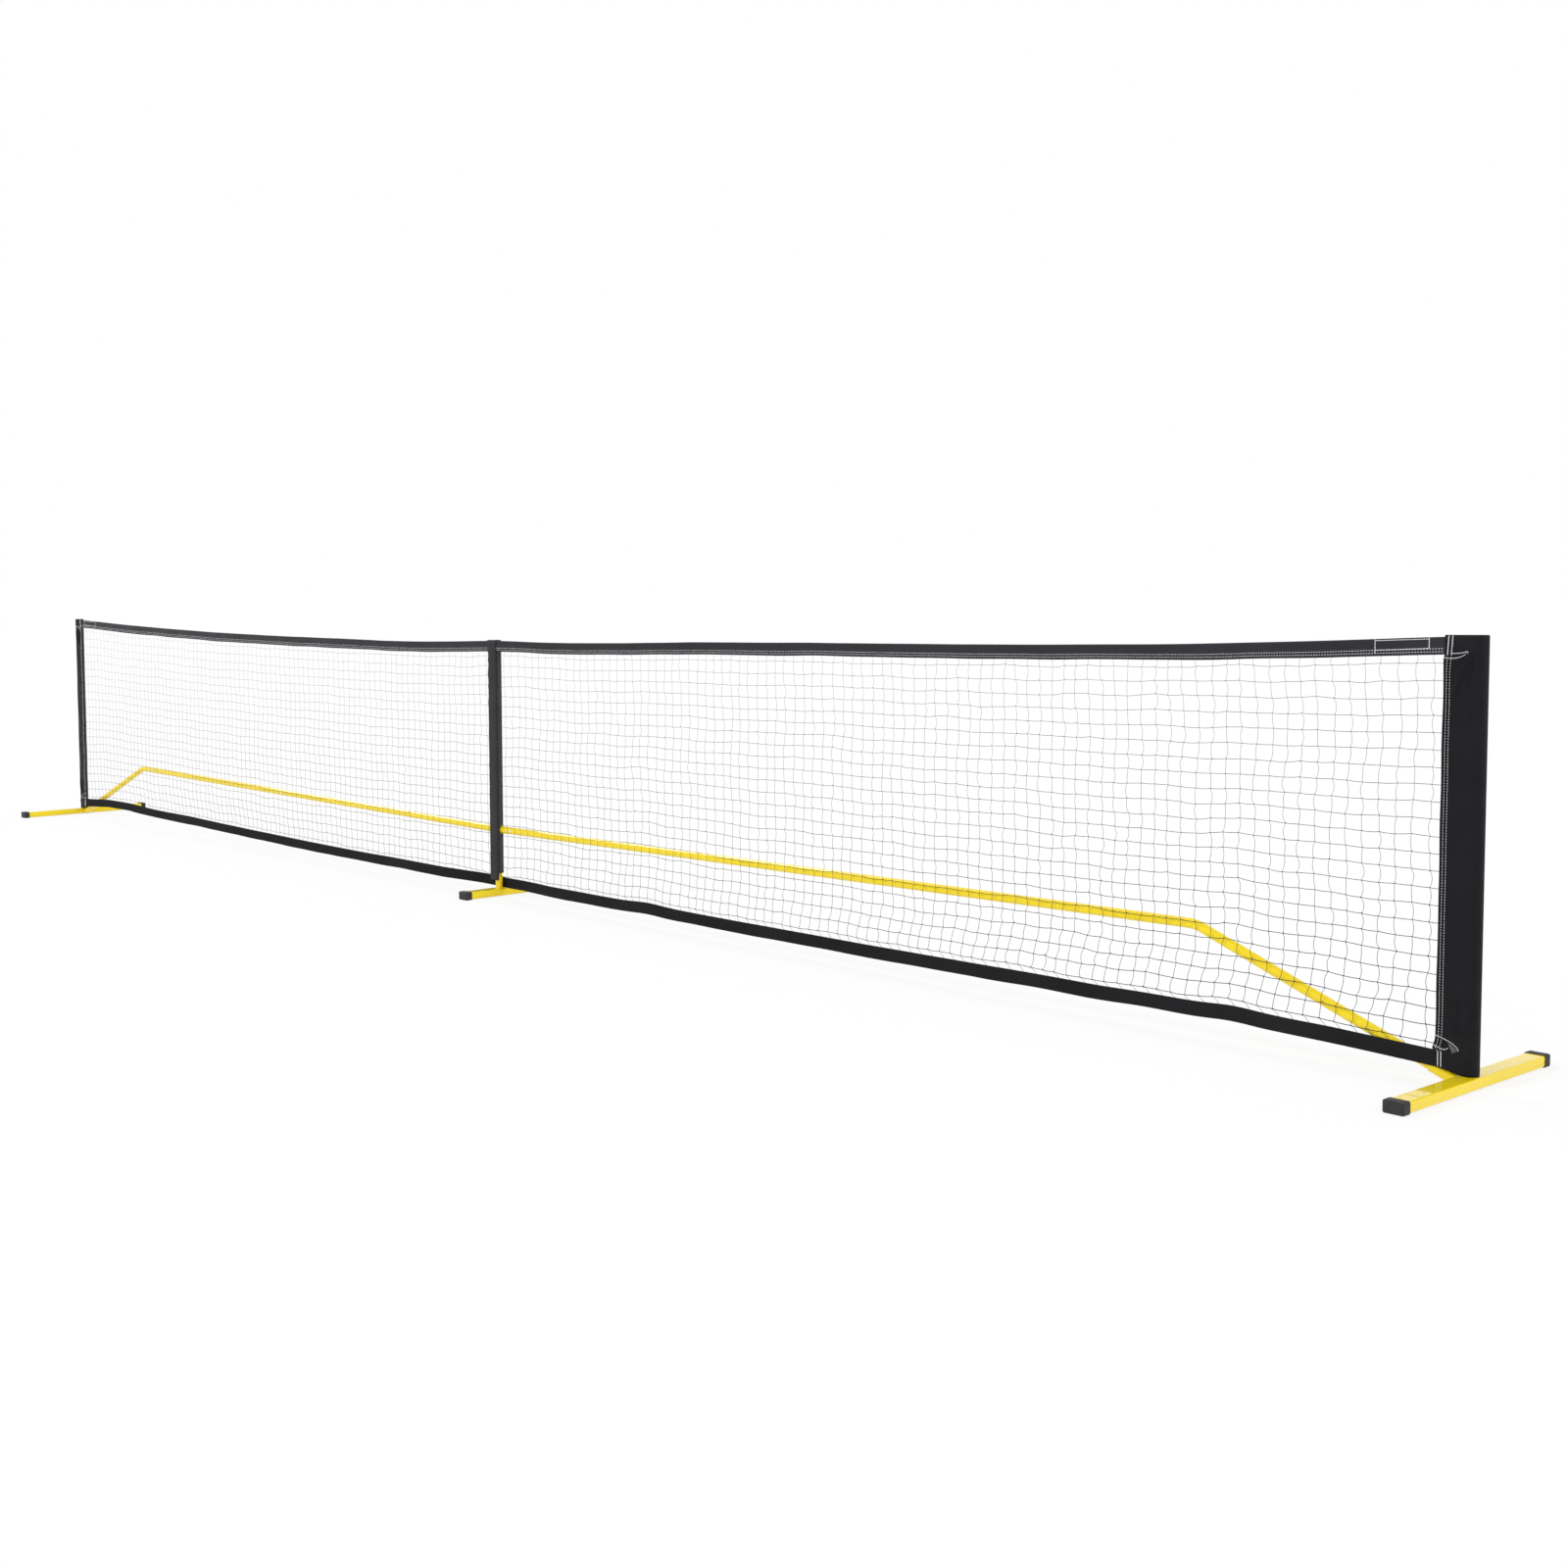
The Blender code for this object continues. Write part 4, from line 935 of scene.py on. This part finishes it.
def centre_band():
    """The strap over the tape and the pole: flat before the net, wrapped round behind."""
    low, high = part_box("centre_band")
    points = node_points("centre_band")
    half = high[0]
    at_side = np.unique(points[abs(points[:, 0] - half) < 1e-5][:, 1].round(5))
    layer = at_side[1] - at_side[0]
    front = low[1] + layer / 2
    radius = high[1] - layer / 2
    top = high[2] - layer / 2
    back_low = points[points[:, 1] > 0][:, 2].min()
    across = BAND_ACROSS
    back = wrap(radius, (half, at_side[2] + layer / 2), across + 1)
    edges = [Wobble(71, 0.11, 6), Wobble(72, 0.30, 5)]
    tape_low = float(top_line.low(0))
    seam = NET_Y
    belly = field(73, count=5, shortest=0.12, longest=0.5)
    shares = np.linspace(-1, 1, across + 1)
    turn, steps = BAND_TURN, BAND_STEPS
    # Each row is (how far to the back, height): up the front, over the top, down the back.
    rows = [(0.0, low[2] + (top - turn - low[2]) * i / steps) for i in range(steps + 1)]
    bend = []
    for i in range(1, 6):
        a = math.pi / 2 * i / 6
        bend.append((0.5 * (1 - math.cos(a)) * turn / 0.02, top - turn * (1 - math.sin(a))))
    rows += bend
    rows += [(0.09 + 0.82 * i / 8, top) for i in range(9)]
    rows += [(1 - depth, z) for depth, z in reversed(bend)]
    drop = top - turn - back_low
    rows += [(1.0, top - turn - drop * i / steps) for i in range(steps + 1)]
    verts = []
    for depth, z in rows:
        for j, t in enumerate(shares):
            x, y = (1 - depth) * np.array((t * half, front)) + depth * back[j]
            wave = edges[0](z) if t < 0 else edges[1](z)
            if depth in (0, 1):
                x += (0.0011 + 0.0012 * float(smooth((z - 0.5) / 0.2))) * wave * abs(t) ** 3
                # Below the top tape both layers are sewn together along their edges.
                sewn = float(smooth((tape_low - 0.001 - z) / 0.008)) * abs(t) ** 6
                y += sewn * (seam + (SEWN_GAP if depth else -SEWN_GAP) - y)
            if depth == 0:
                y -= 0.0005 * abs(float(belly(x, z))) * (1 - t * t) + 0.0004 * (1 - t * t)
            verts.append((float(x), float(y), float(z)))
    faces = grid_faces(len(rows), across + 1, wrap=False)
    # The tee's arms pass through the back layer.
    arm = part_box("centre_tee")
    arm_z = (arm[0][2] + arm[1][2]) / 2
    places = np.array(verts)
    room = np.sqrt(np.maximum(ARM_HOLE ** 2 - places[:, 1] ** 2, 0))
    inside = (places[:, 1] > front + 0.004) & (abs(places[:, 2] - arm_z) < room)
    faces = [f for f in faces if not all(inside[list(f)])]
    for k in np.where(inside)[0]:
        step = 1 if places[k, 2] >= arm_z else -1
        verts[k] = (places[k, 0], places[k, 1], float(arm_z + step * room[k]))
    used = sorted({k for f in faces for k in f})
    number = {k: n for n, k in enumerate(used)}
    verts = [verts[k] for k in used]
    faces = [tuple(number[k] for k in f) for f in faces]
    piece = make("centre_band_cloth", verts, faces, LOOKS["tape"], sharp=60)
    thick = piece.modifiers.new("cloth", "SOLIDIFY")
    thick.thickness = FABRIC
    thick.offset = 0
    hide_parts("centre_band")
    rows = []
    for t in (-0.88, 0.88):
        rows.append((
            lambda d, s=t: np.array((
                s * half,
                front + 0.42 * (seam - SEWN_GAP - front) - FABRIC / 2 - 0.0004,
                low[2] + 0.004 + d,
            )),
            tape_low - low[2] - 0.015,
        ))
    stitch_rows("centre_band_stitches", rows, LOOKS["grey_thread"])


# ---- corner cords --------------------------------------------------------------------


ROUND_SIDES = 8            # facets of the corner cords and the weld beads


def tube_along(name, points, radius, look):
    """A round cord along points, as a closed mesh."""
    points = [Vector(p) for p in points]
    rings = []
    up = Vector((0, 1, 0))
    for i, p in enumerate(points):
        run = (points[min(i + 1, len(points) - 1)] - points[max(i - 1, 0)]).normalized()
        across = run.cross(up).normalized()
        up2 = across.cross(run).normalized()
        ring = []
        for j in range(ROUND_SIDES):
            a = 2 * math.pi * j / ROUND_SIDES
            ring.append(p + radius * (math.cos(a) * across + math.sin(a) * up2))
        rings.append(ring)
    return closed_rings(name, rings, look)


def curve_through(points, per=5):
    """Points on a smooth line through the given ones."""
    points = [Vector(p) for p in points]
    ends = [2 * points[0] - points[1], *points, 2 * points[-1] - points[-2]]
    line = []
    for i in range(1, len(ends) - 2):
        a, b, c, d = ends[i - 1 : i + 3]
        for k in range(per):
            t = k / per
            line.append(0.5 * (
                2 * b + (c - a) * t + (2 * a - 5 * b + 4 * c - d) * t ** 2
                + (3 * b - a - 3 * c + d) * t ** 3
            ))
    return line + [points[-1]]


def corner_cord(name, sleeve, base, places):
    """A cord over the sleeve's front; its places are (from the inner edge, above base)."""
    points = []
    for across, rise in places:
        x, z = sleeve.inner + across, base + rise
        y = float(sleeve.surface(max(x, sleeve.inner), sleeve.front, z)[1]) - TIE * 1.05
        points.append((sleeve.side * x, y, z))
    path = curve_through(points)
    piece = tube_along(name, path, TIE, LOOKS["tie_cord"])
    return piece


def gather(name, sleeve, tip, low, high):
    """The pinched end of the net's corner: pleats that fan out from the cord's end."""
    pleats, rings = 24, 7
    verts = []
    for i in range(rings + 1):
        t = 0.06 + 0.94 * i / rings
        for j in range(pleats + 1):
            s = j / pleats
            base = (low[0] + (high[0] - low[0]) * s, low[1] + (high[1] - low[1]) * s)
            x = sleeve.inner + tip[0] + (base[0] - tip[0]) * t
            z = tip[1] + (base[1] - tip[1]) * t
            ground = float(sleeve.surface(x, sleeve.front, z)[1])
            arch = math.sin(math.pi * min(1, 0.18 + 0.82 * t))
            height = math.sin(math.pi * s) ** 0.7 * 0.0042 * arch
            height += 0.0020 * math.sin(2 * math.pi * 3.5 * s) * t * (1.02 - t)
            verts.append((sleeve.side * x, ground - 0.0002 - max(0, height), z))
    faces = grid_faces(rings + 1, pleats + 1, wrap=False)
    piece = make(name, verts, faces, LOOKS["satin"], sharp=70)
    thick = piece.modifiers.new("cloth", "SOLIDIFY")
    thick.thickness = 0.0004
    thick.offset = 0


# Each corner's cord crosses the sleeve and comes back to the net: its name, the CAD tie
# that it replaces, and its places by the inner edge and the sleeve's top or bottom.
CORDS = (
    ("top_cord", "top_tie", (
        (0.002, -0.0462), (0.018, -0.0470), (0.032, -0.0450), (0.043, -0.0400),
        (0.0525, -0.0345),
    )),
    ("top_return", None, (
        (0.0175, -0.0372), (0.028, -0.0368), (0.040, -0.0355), (0.0515, -0.0325),
    )),
    ("bottom_cord", "bottom_tie", (
        (0.001, 0.0745), (0.020, 0.0690), (0.035, 0.0630), (0.045, 0.0565),
        (0.0510, 0.0500),
    )),
    ("bottom_return", None, (
        (-0.004, 0.0535), (0.008, 0.0500), (0.0165, 0.0478), (0.023, 0.0485),
        (0.028, 0.0520),
    )),
)


def corner_cords(sleeve):
    word, low = sleeve.word, sleeve.bottom
    for part, tie, places in CORDS:
        base = sleeve.top if part.startswith("top") else low
        piece = corner_cord(f"{word}_{part}", sleeve, base, places)
        if tie:
            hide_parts(f"{word}_{tie}")
    gather(
        f"{word}_corner_gather",
        sleeve,
        (0.0525, low + 0.0495),
        (0.036, low + 0.0415),
        (0.024, low + 0.0640),
    )


# ---- welds ---------------------------------------------------------------------------


WELD = 0.0013              # a bead's usual radius
WELD_GAP = 0.0004          # its middle stands this far off the metal


def weld(name, path, seed):
    """A lumpy weld bead along a path."""
    draw = random.Random(seed)
    path = [Vector(p) for p in path]
    rings = []
    for i, p in enumerate(path):
        run = (path[min(i + 1, len(path) - 1)] - path[max(i - 1, 0)]).normalized()
        side = run.orthogonal().normalized()
        up = run.cross(side)
        r = WELD * (0.82 + 0.30 * (i % 2) + 0.16 * draw.random())
        turns = [2 * math.pi * j / ROUND_SIDES for j in range(ROUND_SIDES)]
        rings.append([p + r * (math.cos(a) * side + math.sin(a) * up) for a in turns])
    return closed_rings(name, rings, LOOKS["powder_coat"])


def welds():
    """Beads round the centre upright's foot and the angled sockets."""
    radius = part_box("centre_upright")[1][1] + WELD_GAP
    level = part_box("centre_foot")[1][2] + WELD_GAP
    ring = [math.radians(a) for a in range(100, 441, 5)]
    path = [(radius * math.cos(a), radius * math.sin(a), level) for a in ring]
    weld("centre_upright_weld", path, 1)
    for side, word in ((-1, "left"), (1, "right")):
        low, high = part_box(f"{word}_foot")
        socket = node_points(f"{word}_angled_socket")
        face = min(abs(low[0]), abs(high[0])) - 0.0005
        near = socket[abs(abs(socket[:, 0]) - face) < 0.012]
        reach = abs(near[:, 1]).max()
        mid = near[:, 2].max() - reach
        path = []
        for a in range(-25, 206, 6):
            t = math.radians(a)
            path.append((
                side * face,
                reach * math.cos(t),
                max(mid + reach * math.sin(t), low[2] + 0.001),
            ))
        weld(f"{word}_socket_weld", path, 2 + side)


# ---- light, floor, camera ------------------------------------------------------------


WORLD_LIGHT = 0.72
FLOOR_GLOW = 0.80          # share of the seen floor that is plain white
FLOOR_REACH = 60.0
SUNS = (                   # name, strength, spread in degrees, direction it shines from
    ("key", 0.9, 26, (-0.25, -0.80, 0.60)),
    ("side", 0.8, 40, (0.95, 0.10, 0.45)),
    ("rim", 0.6, 16, (-0.776, 0.10, 0.60)),
)
EYE = (5.17906, -3.73998, 1.00828)
YAW, PITCH, ROLL = 50.940, 3.918, -0.465   # degrees
LENS, SENSOR = 43.81, 36.0                 # millimetres
SHIFT = (0.1144, -0.0374)


def empty_tree(owner):
    owner.use_nodes = True
    owner.node_tree.nodes.clear()
    return owner.node_tree


def blend(tree, share, first, second, out_kind):
    """Ends a tree with two shaders mixed by a share."""
    mix = tree.nodes.new("ShaderNodeMixShader")
    out = tree.nodes.new(out_kind)
    tree.links.new(share, mix.inputs[0])
    tree.links.new(first.outputs[0], mix.inputs[1])
    tree.links.new(second.outputs[0], mix.inputs[2])
    tree.links.new(mix.outputs[0], out.inputs["Surface"])


def plain(tree, kind, grey, strength=None):
    made = tree.nodes.new(kind)
    made.inputs["Color"].default_value = (grey, grey, grey, 1)
    if strength:
        made.inputs["Strength"].default_value = strength
    return made


def studio():
    """A white surrounding that lights softly, a pale floor that keeps the shadow, three suns."""
    world = bpy.data.worlds.new("studio")
    bpy.context.scene.world = world
    tree = empty_tree(world)
    lit = plain(tree, "ShaderNodeBackground", 1, WORLD_LIGHT)
    seen = plain(tree, "ShaderNodeBackground", 1, 1.0)
    rays = tree.nodes.new("ShaderNodeLightPath").outputs
    share = maths(tree, "MAXIMUM", rays["Is Camera Ray"], rays["Is Glossy Ray"])
    share = maths(tree, "MAXIMUM", share, rays["Is Transmission Ray"])
    blend(tree, share, lit, seen, "ShaderNodeOutputWorld")

    floor_look = bpy.data.materials.new("studio_floor")
    tree = empty_tree(floor_look)
    paint = plain(tree, "ShaderNodeBsdfDiffuse", 0.92)
    glow = plain(tree, "ShaderNodeEmission", 1, 1.0)
    rays = tree.nodes.new("ShaderNodeLightPath").outputs
    share = maths(tree, "MAXIMUM", rays["Is Camera Ray"], rays["Is Glossy Ray"])
    share = maths(tree, "MULTIPLY", share, FLOOR_GLOW)
    blend(tree, share, paint, glow, "ShaderNodeOutputMaterial")
    mesh = bpy.data.meshes.new("studio_floor")
    far = FLOOR_REACH
    corners = [(-far, -far, 0), (far, -far, 0), (far, far, 0), (-far, far, 0)]
    mesh.from_pydata(corners, [], [(0, 1, 2, 3)])
    mesh.materials.append(floor_look)
    floor = bpy.data.objects.new("studio_floor", mesh)
    bpy.context.scene.collection.objects.link(floor)

    for name, energy, spread, toward in SUNS:
        lamp = bpy.data.lights.new(name, "SUN")
        lamp.energy = energy
        lamp.angle = math.radians(spread)
        light = bpy.data.objects.new(name, lamp)
        light.rotation_euler = Vector(toward).to_track_quat("Z", "Y").to_euler()
        bpy.context.scene.collection.objects.link(light)


def camera():
    lens = bpy.data.cameras.new("camera")
    lens.sensor_width = SENSOR
    lens.lens = LENS
    lens.shift_x, lens.shift_y = SHIFT
    lens.clip_end = 300
    eye = bpy.data.objects.new("camera", lens)
    bpy.context.scene.collection.objects.link(eye)
    yaw, pitch, roll = (math.radians(a) for a in (YAW, PITCH, ROLL))
    level = math.cos(pitch)
    ahead = Vector((-math.sin(yaw) * level, math.cos(yaw) * level, -math.sin(pitch)))
    right = Vector((math.cos(yaw), math.sin(yaw), 0))
    up = right.cross(ahead)
    turned_right = right * math.cos(roll) + up * math.sin(roll)
    turned_up = up * math.cos(roll) - right * math.sin(roll)
    turn = Matrix((turned_right, turned_up, -ahead)).transposed()
    eye.matrix_world = Matrix.Translation(EYE) @ turn.to_4x4()
    bpy.context.scene.camera = eye


bpy.context.scene.view_settings.view_transform = "Standard"
dress_frame()
net()
tapes()
for sleeve in (Sleeve("left", -1), Sleeve("right", 1)):
    sleeve.build()
    sleeve.stitches()
    corner_cords(sleeve)
centre_band()
welds()
studio()
camera()
